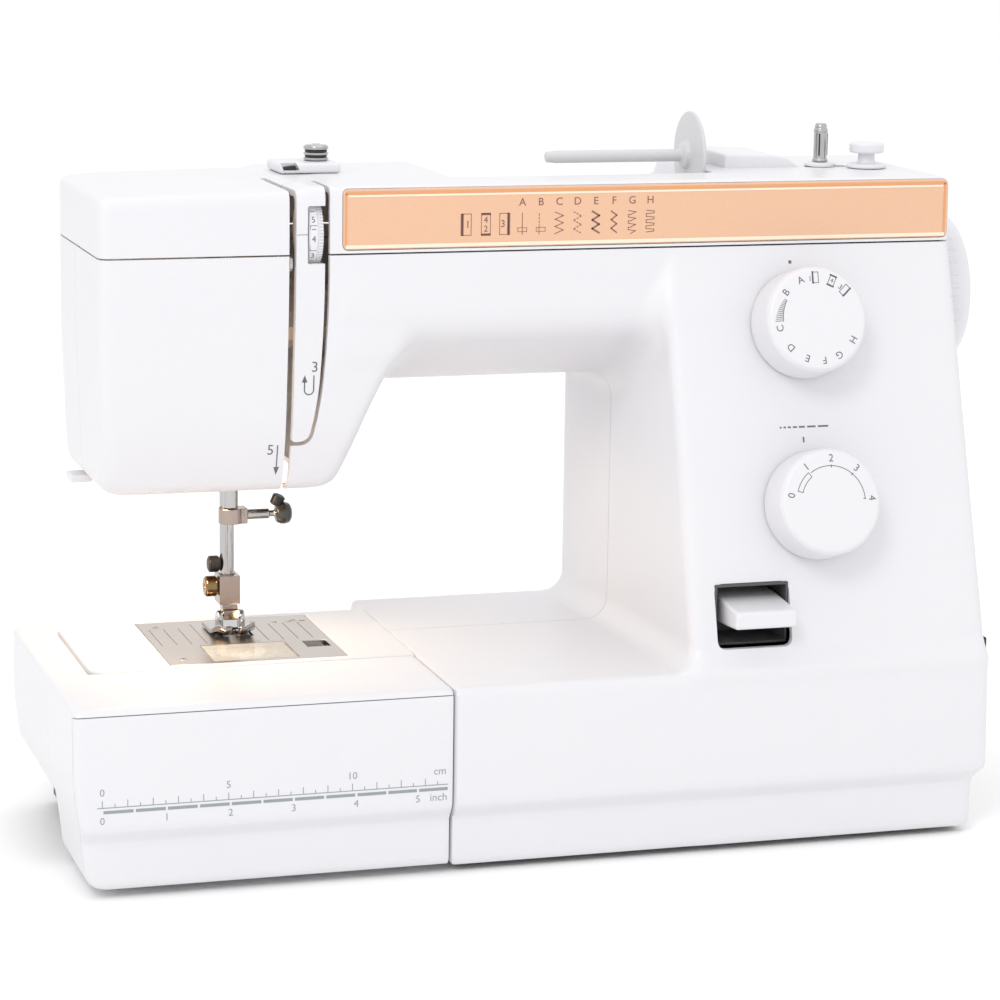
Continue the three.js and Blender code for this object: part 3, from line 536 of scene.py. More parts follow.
CARRIED = {
    "base_tray": BLACK, "foot_front_left": RUBBER, "foot_rear_left": RUBBER,
        "foot_front_right": RUBBER,
    "foot_rear_right": RUBBER, "feed_bar": CASTING, "arm_shaft": STEEL, "arm_shaft_pulley": CASTING,
    "bed_shaft": STEEL, "bed_shaft_gear": STEEL, "timing_belt": RUBBER, "drive_belt": RUBBER,
    "motor": CASTING,
    "motor_pulley": STEEL, "cast_frame": CASTING, "connecting_rod": STEEL, "rotary_hook": STEEL,
    "bobbin_case": BLACK, "bobbin": CLEAR, "lamp": BULB,
}
for name in frame["nodes"]:
    data = frame["nodes"][name].data
    data.materials.clear()
    data.materials.append(CARRIED.get(name, WHITE))


# -------------------- what repeats, grown by geometry nodes
class Growth:
    """A geometry tree: named inputs in, instances made real and given their material out."""

    KINDS = {int: "NodeSocketInt", float: "NodeSocketFloat", tuple: "NodeSocketVector",
             bpy.types.Material: "NodeSocketMaterial"}

    def __init__(self, name, **inputs):
        self.group = bpy.data.node_groups.new(name, "GeometryNodeTree")
        face = self.group.interface
        face.new_socket("Geometry", in_out="INPUT", socket_type="NodeSocketGeometry")
        face.new_socket("Geometry", in_out="OUTPUT", socket_type="NodeSocketGeometry")
        self.ids = {k: face.new_socket(k, in_out="INPUT", socket_type=self.KINDS[kind]).identifier
                    for k, kind in inputs.items()}
        self.source = self.group.nodes.new("NodeGroupInput")
        self.tree = self.group

    def __getitem__(self, name):
        return Value(self, self.source.outputs[name])

    def add(self, kind, settings=(), inputs=(), output=0):
        node = self.group.nodes.new(kind)
        for key, value in dict(settings).items():
            setattr(node, key, value)
        for key, value in dict(inputs).items():
            if isinstance(value, Value):
                self.group.links.new(value.socket, node.inputs[key])
            else:
                node.inputs[key].default_value = value
        return Value(self, node.outputs[output])

    def one_in(self, every, index):
        """1 for each bar whose number divides by every."""
        rest = self.add("ShaderNodeMath", {"operation": "MODULO"}, {0: index, 1: every})
        return rest < 0.5

    def copies(self, points, shape, **more):
        placed = self.add("GeometryNodeInstanceOnPoints", {},
            {"Points": points, "Instance": shape, **more})
        real = self.add("GeometryNodeRealizeInstances", {}, {"Geometry": placed})
        coated = self.add("GeometryNodeSetMaterial", {},
            {"Geometry": real, "Material": self["Material"]})
        self.group.links.new(coated.socket, self.group.nodes.new("NodeGroupOutput").inputs[0])

    def grow(self, name, start=None, **values):
        made = start or new_object(name, [], [])
        mod = made.modifiers.new("growth", "NODES")
        mod.node_group = self.group
        for key, value in values.items():
            mod[self.ids[key]] = value
        return settle(made)


def row_tree():
    """Bars in a row along x that rise along y; every so many is a long one."""
    g = Growth("bar_row", Count=int, Pitch=float, Wide=float, Short=float, Long=float, Every=int,
        Thick=float,
               Material=bpy.types.Material)
    step = g.add("ShaderNodeCombineXYZ", {}, {"X": g["Pitch"]})
    points = g.add("GeometryNodeMeshLine", {"mode": "OFFSET"},
        {"Count": g["Count"], "Offset": step})
    bar = g.add("GeometryNodeMeshCube", {}, {"Size": (1, 1, 1)})
    bar = g.add("GeometryNodeTransform", {}, {"Geometry": bar, "Translation": (0, 0.5, 0.5)})
    index = g.add("GeometryNodeInputIndex")
    long = g.one_in(g["Every"], index)
    size = g.add("ShaderNodeCombineXYZ", {}, {
        "X": g["Wide"], "Y": g["Short"] + long * (g["Long"] - g["Short"]), "Z": g["Thick"]})
    g.copies(points, bar, Scale=size)
    return g


def ring_tree():
    """Bars round the z axis, each standing out along its own radius."""
    g = Growth("bar_ring", Count=int, Radius=float, Deep=float, Wide=float, Tall=float, From=float,
        Span=float,
               Material=bpy.types.Material)
    points = g.add("GeometryNodeMeshLine", {"mode": "OFFSET"},
        {"Count": g["Count"], "Offset": (0, 0, 0)})
    size = g.add("ShaderNodeCombineXYZ", {}, {"X": g["Deep"], "Y": g["Wide"], "Z": g["Tall"]})
    bar = g.add("GeometryNodeMeshCube", {}, {"Size": size})
    out = g.add("ShaderNodeCombineXYZ", {}, {"X": g["Radius"]})
    bar = g.add("GeometryNodeTransform", {}, {"Geometry": bar, "Translation": out})
    turn = g["From"] + g.add("GeometryNodeInputIndex") * (g["Span"] / g["Count"])
    g.copies(points, bar, Rotation=g.add("ShaderNodeCombineXYZ", {}, {"Z": turn}))
    return g


def screw_tree():
    """A cross-slotted pan head on every point of the mesh it starts from, standing along z."""
    g = Growth("cross_screws", Radius=float, High=float, Material=bpy.types.Material)
    head = g.add("GeometryNodeMeshCylinder", {},
        {"Vertices": 28, "Radius": g["Radius"], "Depth": g["High"] * 2})
    top = g.add("GeometryNodeMeshUVSphere", {},
        {"Segments": 28, "Rings": 14, "Radius": g["Radius"] * 1.7})
    down = g.add("ShaderNodeCombineXYZ", {}, {"Z": g["High"] - g["Radius"] * 1.7})
    top = g.add("GeometryNodeTransform", {}, {"Geometry": top, "Translation": down})
    head = g.add("GeometryNodeMeshBoolean", {"operation": "INTERSECT"}, {"Mesh 2": head})
    boolean = head.socket.node
    g.group.links.new(top.socket, boolean.inputs["Mesh 2"])
    cross = []
    for wide, long in ((0.22, 1.1), (1.1, 0.22)):
        size = g.add("ShaderNodeCombineXYZ", {},
            {"X": g["Radius"] * wide, "Y": g["Radius"] * long, "Z": g["High"]})
        cube = g.add("GeometryNodeMeshCube", {}, {"Size": size})
        lift = g.add("ShaderNodeCombineXYZ", {}, {"Z": g["High"]})
        cross.append(g.add("GeometryNodeTransform", {}, {"Geometry": cube, "Translation": lift}))
    slotted = g.add("GeometryNodeMeshBoolean", {"operation": "DIFFERENCE"},
        {"Mesh 1": head, "Mesh 2": cross[0]})
    g.group.links.new(cross[1].socket, slotted.socket.node.inputs["Mesh 2"])
    g.copies(g["Geometry"], slotted)
    return g


ROW, RING, SCREW = row_tree(), ring_tree(), screw_tree()


def stand(made, at, axis=(0, 0, 1), along=None):
    """Moves a mesh grown round the origin to its place: z to the axis, x to the along direction."""
    u, v, w = basis(axis)
    if along:
        u = Vector(along).normalized()
        v = w.cross(u)
    spot = Vector(at) * MM + Vector((0, 0, LIFT * MM))
    place = Matrix((u, v, w)).transposed().to_4x4()
    place.translation = spot
    made.data.transform(place)
    return made


def ring(name, at, axis, count, radius, deep, wide, tall, material, start=0.0, span=math.tau):
    return stand(RING.grow(name, Count=count, Radius=radius * MM, Deep=deep * MM, Wide=wide * MM,
        Tall=tall * MM,
                           From=start, Span=span, Material=material), at, axis)


def screws(name, points, radius, high, axis, material):
    made = []
    for p in points:
        one = new_object(name, [], [])
        one.data.from_pydata([(0, 0, 0)], [], [])
        made.append(stand(SCREW.grow(name, one, Radius=radius * MM, High=high * MM,
            Material=material), p, axis))
    return join(made, name)


def join(objects, name):
    """Several meshes as one piece."""
    b = bmesh.new()
    for o in objects:
        b.from_mesh(o.data)
    mesh = bpy.data.meshes.new(name)
    b.to_mesh(mesh)
    b.free()
    discard(*objects)
    made = bpy.data.objects.new(name, mesh)
    bpy.context.scene.collection.objects.link(made)
    return made


def refined(node, width, segments=3, angle=30):
    """A copy of a CAD node with its loose triangles merged and its edges rounded."""
    b = bmesh.new()
    b.from_mesh(frame["nodes"][node].data)
    bmesh.ops.remove_doubles(b, verts=b.verts, dist=1e-5)
    bmesh.ops.dissolve_limit(b, angle_limit=math.radians(1), verts=b.verts, edges=b.edges)
    mesh = bpy.data.meshes.new(node + "_skin")
    b.to_mesh(mesh)
    b.free()
    made = bpy.data.objects.new(node + "_skin", mesh)
    bpy.context.scene.collection.objects.link(made)
    return soften(made, width, segments, angle) if width else made


# -------------------- printing
class Print:
    """Ink on one body: flat shapes a tenth of a millimetre thick, laid on a surface by a rule."""

    THICK = 0.09

    def __init__(self, lay_on, longest=FAR):
        self.lay_on, self.longest, self.points, self.faces = lay_on, longest, [], []

    def shape(self, outline):
        """A closed outline of (u, v) points."""
        outline = np.array(outline, float)
        x, y = outline[:, 0], outline[:, 1]
        if np.sum(x * np.roll(y, -1) - np.roll(x, -1) * y) < 0:
            outline = outline[::-1]
        n, base = len(outline), len(self.points)
        for h in (0, self.THICK):
            self.points += [self.lay_on(u, v, h) for u, v in outline]
        self.faces.append([base + i for i in range(n)][::-1])
        self.faces.append([base + n + i for i in range(n)])
        self.faces += [[base + i, base + (i + 1) % n, base + n + (i + 1) % n,
            base + n + i] for i in range(n)]

    def bar(self, u0, u1, v0, v1):
        self.shape([(u0, v0), (u1, v0), (u1, v1), (u0, v1)])

    def line(self, points, wide, closed=False):
        """A stroke of even width through the points, square-ended, each leg its own shape."""
        corners = list(points) + ([points[0]] if closed else [])
        ends = corners[:1]
        for (au, av), (bu, bv) in zip(corners, corners[1:]):
            legs = math.ceil(math.hypot(bu - au, bv - av) / self.longest)
            ends += [(au + (bu - au) * k / legs, av + (bv - av) * k / legs) for k in range(1,
                legs + 1)]
        for (au, av), (bu, bv) in zip(ends, ends[1:]):
            du, dv = bu - au, bv - av
            length = math.hypot(du, dv)
            du, dv = du / length * wide / 2, dv / length * wide / 2
            au, av, bu, bv = au - du * 0.8, av - dv * 0.8, bu + du * 0.8, bv + dv * 0.8
            self.shape([(au + dv, av - du), (bu + dv, bv - du), (bu - dv, bv + du),
                (au - dv, av + du)])

    def arc(self, centre, radius, start, end, wide, steps=24):
        """A curved stroke; angles run clockwise from straight up, in degrees."""
        rim = [[(centre[0] + r * math.sin(math.radians(a)),
            centre[1] + r * math.cos(math.radians(a)))
                for a in np.linspace(start, end, steps)] for r in (radius - wide / 2,
                    radius + wide / 2)]
        for i in range(steps - 1):
            self.shape([rim[0][i], rim[0][i + 1], rim[1][i + 1], rim[1][i]])

    def text(self, words, high, u, v, turn=0.0, across="CENTER", bold=0.0):
        """Plain letters, centred on (u, v), turned clockwise by degrees."""
        curve = bpy.data.curves.new("letters", "FONT")
        curve.body, curve.size, curve.align_x, curve.align_y = words, high * 1.38, across, "CENTER"
        curve.offset, curve.resolution_u = bold, 3
        letters = bpy.data.objects.new("letters", curve)
        bpy.context.scene.collection.objects.link(letters)
        bpy.context.view_layer.update()
        mesh = bpy.data.meshes.new_from_object(letters.evaluated_get(bpy.context.evaluated_depsgraph_get()))
        b = bmesh.new()
        b.from_mesh(mesh)
        bmesh.ops.remove_doubles(b, verts=b.verts, dist=1e-5)
        if sum(f.normal.z * f.calc_area() for f in b.faces) < 0:
            bmesh.ops.reverse_faces(b, faces=b.faces)
        for f in bmesh.ops.extrude_face_region(b, geom=list(b.faces))["geom"]:
            if isinstance(f, bmesh.types.BMVert):
                f.co.z += self.THICK
        c, s = math.cos(math.radians(turn)), math.sin(math.radians(turn))
        base = len(self.points)
        b.verts.ensure_lookup_table()
        for p in b.verts:
            self.points.append(self.lay_on(u + p.co.x * c + p.co.y * s,
                v - p.co.x * s + p.co.y * c, p.co.z))
        bottom = [f for f in b.faces if f.normal.z > 0.9 and max(p.co.z for p in f.verts) < self.THICK / 2]
        bmesh.ops.reverse_faces(b, faces=bottom)
        self.faces += [[base + p.index for p in f.verts] for f in b.faces]
        b.free()
        bpy.data.objects.remove(letters)
        bpy.data.meshes.remove(mesh)
        bpy.data.curves.remove(curve)

    def done(self, name, material, body):
        made = new_object(name, self.points, self.faces)
        b = bmesh.new()
        b.from_mesh(made.data)
        bmesh.ops.recalc_face_normals(b, faces=b.faces)
        b.to_mesh(made.data)
        b.free()
        return dress(made, material, body)


SINK = 0.03  # how deep the ink starts under the surface


def flat(origin, across, up):
    """Lays print on a plane; its outward side is across x up."""
    across, up = Vector(across).normalized(), Vector(up).normalized()
    out = across.cross(up)
    return lambda u, v, h: tuple(Vector(origin) + across * u + up * v + out * (h - SINK))


def draped(piece):
    """Lays print on a front surface as seen from -Y: u is x and v is the height."""
    tree = BVHTree.FromPolygons([v.co.copy() for v in piece.data.vertices],
                                [tuple(p.vertices) for p in piece.data.polygons])

    def rule(u, v, h):
        start = Vector((u * MM, -FAR * MM, (v + LIFT) * MM))
        hit, normal, _, _ = tree.ray_cast(start, Vector((0, 1, 0)))
        if hit is None:
            return (u, BASE_FRONT, v)
        out = hit / MM + normal * (h - SINK)
        return (out.x, out.y, out.z - LIFT)

    return rule


# -------------------- the casing
def casing():
    """The outer form as a field: base, column, arm and head run together, spool bay let in."""
    g = Block((-190, -89, -6), (188, 90, 275), 1.8)
    skirt = BASE_FRONT + SKIRT
    base = meet(0.2, g.prism("x", [
        (skirt, BASE_LOW), (BASE_BACK, BASE_LOW), (BASE_BACK, BED_TOP, 6), (BASE_FRONT, BED_TOP, 5),
        (BASE_FRONT, LEDGE, 2), (skirt, SKIRT_TOP, 2)]), g.slab("x", SEAM_X + GAP, FAR))
    knee = PANEL_Z - (PANEL_Y - BASE_FRONT) / SLOPE
    column = meet(5, g.prism("x", [
        (skirt, BASE_LOW), (BACK, BASE_LOW), (BACK, TOP, 14), (PANEL_Y, TOP, 4),
        (PANEL_Y, PANEL_Z, 2),
        (BASE_FRONT, knee, 30), (BASE_FRONT, LEDGE, 2), (skirt, SKIRT_TOP, 2)]), g.prism("z", [
            (50.5, -FAR), (FAR, -FAR), (FAR, FAR), (44, FAR), (44, BACK), (50.5, PANEL_Y)]))
    arm = meet(1, g.prism("x", [
        (PANEL_Y, TOP, 4), (PANEL_Y, 208, 12), (10, ARM_LOW, 16), (BACK, ARM_LOW, 8),
        (BACK, TOP, 14)]),
        g.slab("x", -86, 90))
    head = meet(5, g.prism("x", [
        (PANEL_Y, TOP, 4), (PANEL_Y, 225, 22), (-27, 165, 14), (-19, HEAD_LOW, 8),
        (BACK, HEAD_LOW, 6), (BACK, TOP, 14)]),
        g.prism("y", [
            (-185, 265.8, 4), (-185, 205), (-181, HEAD_LOW, 12), (-86, HEAD_LOW, 9),
            (-70, ARM_LOW, 12), (-57, 206),
            (-57, FAR), (-104, FAR), (-104, TOP), ]),
        g.prism("z",
        [(-185, -FAR), (-20, -FAR), (-20, FAR), (-165, FAR), (-165, BACK, 10), (-185, 62, 10)]))
    y, z = (g.axis(n) for n in "yz")
    whole = merge(10 * ramp(z, 66, 73), base, column)
    whole = merge(11 * ramp(z, 238, 214) * ramp(y, 74, 58), whole, arm)
    whole = merge(12 * ramp(z, 216, 196) * ramp(y, 74, 58), whole, head)
    whole = meet(4, whole, g.prism("y", [
        (-FAR, -60), (BASE_RIGHT - SKIRT, -60), (BASE_RIGHT - SKIRT, SKIRT_TOP, 2),
        (BASE_RIGHT, LEDGE, 2),
        (RIGHT, TOP), (RIGHT - 2, FAR), (-FAR, FAR)]))
    bay = meet(3, g.slab("x", -30, 84), g.slab("y", 0, FAR), g.slab("z", 254.6, FAR))
    whole = meet(1.5, whole, -bay)
    outer = new_object("casing_outer", *g.skin(whole))
    inner = new_object("casing_inner", *g.skin(whole, -WALL))
    inner_deep = new_object("casing_inner_deep", *g.skin(whole, -WALL - 1))
    return outer, inner, inner_deep


def slab_of(x0=-FAR, x1=FAR, y0=-FAR, y1=FAR, z0=-FAR, z1=FAR):
    return brick(x0, x1, y0, y1, z0, z1)


SHUT = 0.35  # half the dark line between two covers


def on_panel(z, out=0.0):
    """(y, z) of a point on the leaning panel, moved out square to it."""
    return panel_y(z) - out * math.cos(LEAN), z + out * math.sin(LEAN)


PANEL_AXIS = (0, -math.cos(LEAN), math.sin(LEAN))
outer, inner, inner_deep = casing()
for tool in (outer, inner, inner_deep):
    tool["keep"] = True
shell = carve(outer, "shell", [
    ("DIFFERENCE", inner),
    ("DIFFERENCE", slab_of(-168, -90, -10, 68, HEAD_LOW - 5, HEAD_LOW + 5)),
    ("DIFFERENCE", slab_of(SEAM_X - 1, SEAM_X + 6, -21, 61, 33, 70)),
    ("DIFFERENCE", slab_of(SEAM_X - 1, SEAM_X + 6, -22.5, 62.5, -6, 10.4)),
    ("DIFFERENCE", slab_of(z1=BASE_LOW + 0.01)),
    ("DIFFERENCE", prism("y", rectangle(61.7, 94.4, 81.5, 107.5, 4), -FAR, -60)),
    ("DIFFERENCE", prism("z", rectangle(132.5, 151.5, 13.8, 22.2, 4), 260, 276)),
    ("DIFFERENCE", prism("x", rectangle(-75, -57, 65, 80, 1.5), 174, 190)),
    ("DIFFERENCE", prism("x", rectangle(-31, -5, 29, 53, 2), 174, 190)),
    ("DIFFERENCE", prism("y", rectangle(-32.6, -14.5, 40.5, 47.5, 1), 70, 95)),
])
shell["keep"] = True
tongue_room = prism("y", [
    (SLOT_LEFT + SLOT_LEFT_WIDE, 163.4), (-96.6, 163.4, 5), (SLOT_RIGHT - 0.2, 180, 12),
    (SLOT_RIGHT + SLOT_RIGHT_WIDE, 212, 20),
    (SLOT_RIGHT + SLOT_RIGHT_WIDE, FAR), (SLOT_LEFT + SLOT_LEFT_WIDE, FAR)], -FAR, -8)
needle_slot = prism("y", rectangle(SLOT_LEFT, SLOT_LEFT + SLOT_LEFT_WIDE, -FAR, FAR), -FAR, SPLIT_Y)
for tool in (tongue_room, needle_slot):
    tool["keep"] = True


def handle_lugs():
    """The two eyes at the back in which the carrying handle's pins turn."""
    steps = []
    for x0, x1 in ((-46, -38.6), (93.6, 101)):
        lug = prism("x", [(74, 250.5), (87.1, 250.5, 3), (87.1, 261.5, 3), (74, 261.5)], x0, x1)
        steps.append(("UNION", settle(soften(lug, 0.8))))
    pin_hole = lathe("cutter", [(0, -60), (2.9, -60), (2.9, 120), (0, 120)], (0, 83.1, 256),
        (1, 0, 0), 24)
    return steps + [("DIFFERENCE", pin_hole)]


def hump():
    made = prism("y", [(95, TOP - 1), (131, TOP - 1), (122, TOP + 5, 5), (95, TOP + 6, 1.5)], 16,
        56)
    return settle(soften(made, 1.2))


def covers():
    strip_seat = prism("y", rectangle(-85.6, 177.3, 242.9, 267.7, 3), -FAR, PANEL_Y + 1.5)
    top = carve(shell, "top_cover_skin", [
        ("INTERSECT", slab_of(z0=GROOVE_Z + SHUT)), ("DIFFERENCE", tongue_room),
        ("DIFFERENCE", needle_slot),
        ("DIFFERENCE", strip_seat), *handle_lugs(), ("UNION", hump()),
    ])
    front = carve(shell, "front_cover_skin", [
        ("INTERSECT",
        slab_of(SLOT_LEFT + SLOT_LEFT_WIDE, FAR, -FAR, SPLIT_Y - 0.1, -FAR, GROOVE_Z - SHUT)),
        ("DIFFERENCE", tongue_room),
    ])
    face = carve(shell, "face_cover_skin", [
        ("INTERSECT", slab_of(-FAR, SLOT_LEFT, -FAR, SPLIT_Y - 0.1, -FAR, GROOVE_Z - SHUT))])
    rear = carve(shell, "rear_cover_skin", [
        ("INTERSECT", slab_of(-FAR, FAR, SPLIT_Y + GAP, FAR, -FAR, GROOVE_Z - SHUT))])
    dress(top, WHITE, replaces="top_cover")
    dress(front, WHITE, replaces="front_cover")
    dress(face, WHITE, replaces="face_cover")
    dress(rear, WHITE, replaces="rear_cover")
    return front, face


def tongue():
    left = SLOT_LEFT + SLOT_LEFT_WIDE + GAP
    outline = prism("y", [
        (left, 165, 1.5), (-97.8, 165, 4), (SLOT_RIGHT - 1.6, 181, 12), (SLOT_RIGHT, 212, 20),
        (SLOT_RIGHT, TOP + 5),
        (left, TOP + 5)], -FAR, -8.5)
    window = prism("y", rectangle(-99.7, SLOT_RIGHT + 4, 237.9, 261.1, 1), -FAR, -20)
    made = carve(outer, "thread_guide_tongue_skin", [
        ("DIFFERENCE", inner_deep), ("INTERSECT", outline), ("DIFFERENCE", window)])
    return dress(made, WHITE, replaces="thread_guide_tongue")


front_skin, face_skin = covers()
tongue_skin = tongue()


# -------------------- extension table, lid and free arm
def table_and_lid():
    right, back, arm_left = SEAM_X - 0.2, -24.6, -187.5
    g = Block((-210, -89, -6), (-48, 68, 78), 1.5)
    skirt = BASE_FRONT + SKIRT
    front = meet(0.8, g.prism("x", [
        (skirt, BASE_LOW, 2), (back, BASE_LOW), (back, BED_TOP, 0.8), (BASE_FRONT, BED_TOP, 5),
        (BASE_FRONT, LEDGE, 2),
        (skirt, SKIRT_TOP, 2)]), g.slab("x", -FAR, right))
    end = meet(1, g.slab("x", -FAR, arm_left), g.slab("y", back - 2, 64), g.slab("z", 25, BED_TOP))
    whole = meet(2.5, np.minimum(front, end), g.prism("y", [
        (BED_LEFT, FAR), (BED_LEFT, 44, 10), (-202.4, 28, 4), (-200.3, 14, 4), (-199, BASE_LOW, 9),
        (0, BASE_LOW), (0, FAR)]))
    solid = new_object("table_solid", *g.skin(whole))
    solid["keep"] = True
    lid_room = [
        (-FAR, -20), (skirt + WALL + 0.4, -20), (skirt + WALL + 0.4, SKIRT_TOP),
        (BASE_FRONT + WALL + 0.4, LEDGE),
        (BASE_FRONT + WALL + 0.4, 71), (-FAR, 71)]
    hinge_room = lathe("cutter", [(0, -FAR), (3.4, -FAR), (3.4, FAR), (0, FAR)],
        (0, skirt + WALL / 2, 1.5), (1, 0, 0), 24)
    table = carve(solid, "extension_table_skin", [
        ("DIFFERENCE", prism("x", lid_room, -FAR, FAR)),
        ("DIFFERENCE", hinge_room),
        ("DIFFERENCE", slab_of(-197, -54, -FAR, back - WALL, BASE_LOW + WALL, 71)),
        ("DIFFERENCE", slab_of(BED_LEFT + 5, arm_left + 5, back, 61.4, -FAR, BED_TOP - WALL)),
    ])
    lid = carve(solid, "storage_lid_skin", [
        ("INTERSECT", prism("x", [
            (-FAR, -20), (skirt + WALL, -20), (skirt + WALL, SKIRT_TOP), (BASE_FRONT + WALL, LEDGE),
            (BASE_FRONT + WALL, 70.6), (-FAR, 70.6)], -FAR, right - 0.2)),
    ])
    discard(solid)
    dress(table, WHITE, "table", "extension_table")
    dress(lid, WHITE, "lid", "storage_lid")


def free_arm():
    g = Block((-190, -27, 26), (-46, 67, 78), 1.5)
    whole = meet(2, g.prism("z", [
        (-187, -24, 12), (-49, -24), (-49, 64), (-187, 64, 12)]), g.slab("z", 30, BED_TOP))
    solid = new_object("free_arm_solid", *g.skin(whole))
    core = new_object("free_arm_core", *g.skin(whole, -2.4))
    made = carve(solid, "free_arm_skin", [
        ("DIFFERENCE", core),
        ("DIFFERENCE", slab_of(x0=SEAM_X)),
        ("DIFFERENCE", slab_of(-153.3, -78.7, -19.8, 56.8, BED_TOP - 1.8, FAR)),
        ("DIFFERENCE", slab_of(-150, -80.5, -16.5, 53.5, BED_TOP - 10, FAR)),
    ])
    discard(solid)
    dress(made, WHITE, replaces="free_arm_cover")


table_and_lid()
free_arm()
discard(outer, inner, inner_deep, shell, tongue_room, needle_slot)


# -------------------- controls on the column
DIAL_X, DIAL_R, DIAL_OUT = 108.4, 22.7, 19.5
PATTERN_Z, LENGTH_Z = 208.8, 136.6
PANEL_UP = (0, math.sin(LEAN), math.cos(LEAN))


def dial(node, body, z):
    y, _ = on_panel(z)
    made = lathe(node + "_skin", curved([
        (0, -9), (4, -9), (4, 0.8), (22.4, 0.8), (22.7, 2.6), (22.1, 14), (21.9, DIAL_OUT - 2.2),
        (20.6, DIAL_OUT - 0.2),
        (19.4, DIAL_OUT), (0, DIAL_OUT)], 0.7, 4), (DIAL_X, y, z), PANEL_AXIS, 96)
    dress(made, WHITE, body, node)
    oy, oz = on_panel(z, DIAL_OUT)
    return Print(flat((DIAL_X, oy, oz), (1, 0, 0), PANEL_UP))


def at_angle(degrees, radius):
    """(u, v) of a point round a dial, clockwise from straight up."""
    a = math.radians(degrees)
    return radius * math.sin(a), radius * math.cos(a)


def pattern_dial():
    p = dial("pattern_dial", "pattern_knob", PATTERN_Z)
    for letter, angle in zip("ABHGFEDC", (-22, -50, 122, 152, 175, 200, 228, 258)):
        p.text(letter, 3.1, *at_angle(angle, 17.2), turn=angle)
    for angle, number in ((0, "1"), (25, "4"), (48, "3")):
        u, v = at_angle(angle, 17.0)
        c, s = math.cos(math.radians(angle)), math.sin(math.radians(angle))

        def turned(points):
            return [(u + a * c + b * s, v - a * s + b * c) for a, b in points]
        p.line(turned([(-1.3, -2.2), (1.3, -2.2), (1.3, 2.2), (-1.3, 2.2)]), 0.28, True)
        side = 1.1 if number == "3" else -1.1
        p.line(turned([(side, -2.3), (side, 2.3)] if number != "4" else [(-1.4, 2.1), (1.4, 2.1)]),
            0.7)
        if number == "4":
            p.line(turned([(-1.4, -2.1), (1.4, -2.1)]), 0.7)
            p.text("4", 2.0, u, v, angle)
        else:
            p.text(number, 2.2, *at_angle(angle - 8, 16.6), turn=angle)
    for k in range(13):  # the widening marks of the zigzag band
        angle = -92 + k * 2.7
        long = 1.0 + 2.3 * (1 - k / 12)
        p.line([at_angle(angle, 15.4), at_angle(angle, 15.4 + long)], 0.28)
    p.arc((0, 0), 15.3, -93, -59, 0.25, 12)
    p.done("pattern_dial_print", INK, "pattern_knob")


def length_dial():
    p = dial("length_dial", "length_knob", LENGTH_Z)
    for number, angle in zip("01234", (-80, -35, 3, 42, 88)):
        p.text(number, 3.2, *at_angle(angle, 17.6), turn=angle)
    p.arc((0, 0), 14.6, -35, 88, 0.3, 40)
    for angle in (3, 42, 88):
        p.line([at_angle(angle, 13.9), at_angle(angle, 14.9)], 0.3)
    p.arc((0, 0), 15.3, -72, -38, 0.28, 16)
    p.arc((0, 0), 13.1, -72, -38, 0.28, 16)
    for angle in (-72, -38):
        p.line([at_angle(angle, 13.1), at_angle(angle, 15.3)], 0.28)
    p.done("length_dial_print", INK, "length_knob")


def panel_marks(front):
    p = Print(draped(front), 1.5)
    dot = [(105.7 + 0.75 * math.cos(a), 234.3 + 0.75 * math.sin(a)) for a in np.linspace(0,
        math.tau, 16)[:-1]]
    p.shape(dot)
    for u0, u1 in ((95.7, 96.5), (97.4, 98.4), (99.3, 100.6), (101.5, 103.3), (104.2, 106.8),
        (107.9, 111.6), (112.6, 117.2)):
        p.bar(u0, u1, 167.8, 168.5)
    p.bar(105.5, 106.2, 161.9, 164.1)
    p.done("column_print", INK, "machine")


def reverse_lever():
    made = prism("x", [
        (-87.6, 91.5, 2), (-87.6, 98.6, 2), (-60, 101.3, 4), (-36, 101, 4), (-36, 90, 4),
        (-60, 89.6, 4)],
        66, 92.5, "reverse_lever_skin")
    soften(made, 1.1)
    dress(made, WHITE, "reverse", "reverse_lever")
    y = panel_y(94)
    # A dark grey box in the well behind the lever: painted shade in the recess.
    shade_box = brick(61.9, 94.2, y + 3, y + 26, 81.7, 107.3, "lever_well")
    room = brick(63, 93.1, y - 5, y + 25, 82.8, 106.2)
    soften(shade_box, 0.6)
    settle(shade_box)
    hollow = carve(shade_box, "lever_well_painted_shade", [("DIFFERENCE", room)])
    discard(shade_box)
    dress(hollow, DARK_GREY_AND_PAINTED_SHADE)


def hand_wheel():
    at = (182.5, 29, 213)
    made = lathe("handwheel_skin", curved([
        (0, 0.4), (12, 0.4), (12, 2), (28, 2), (30, 0.2), (33.5, 0), (36, 2.4), (36.2, 10),
        (35.4, 16.5), (32.5, 20.6),
        (28, 22), (24, 21.2), (17, 17.4), (12, 17), (11.2, 18.8), (0, 19.2)], 1.2, 4), at,
        (1, 0, 0), 96)
    grips = ring("handwheel_grips", (190, 29, 213), (1, 0, 0), 40, 35.6, 1.7, 2.2, 12.4, WHITE)
    soften(grips, 0.55, 2)
    dress(grips, WHITE, "upper_drive", sharp=50)
    dress(made, WHITE, "upper_drive", "handwheel")


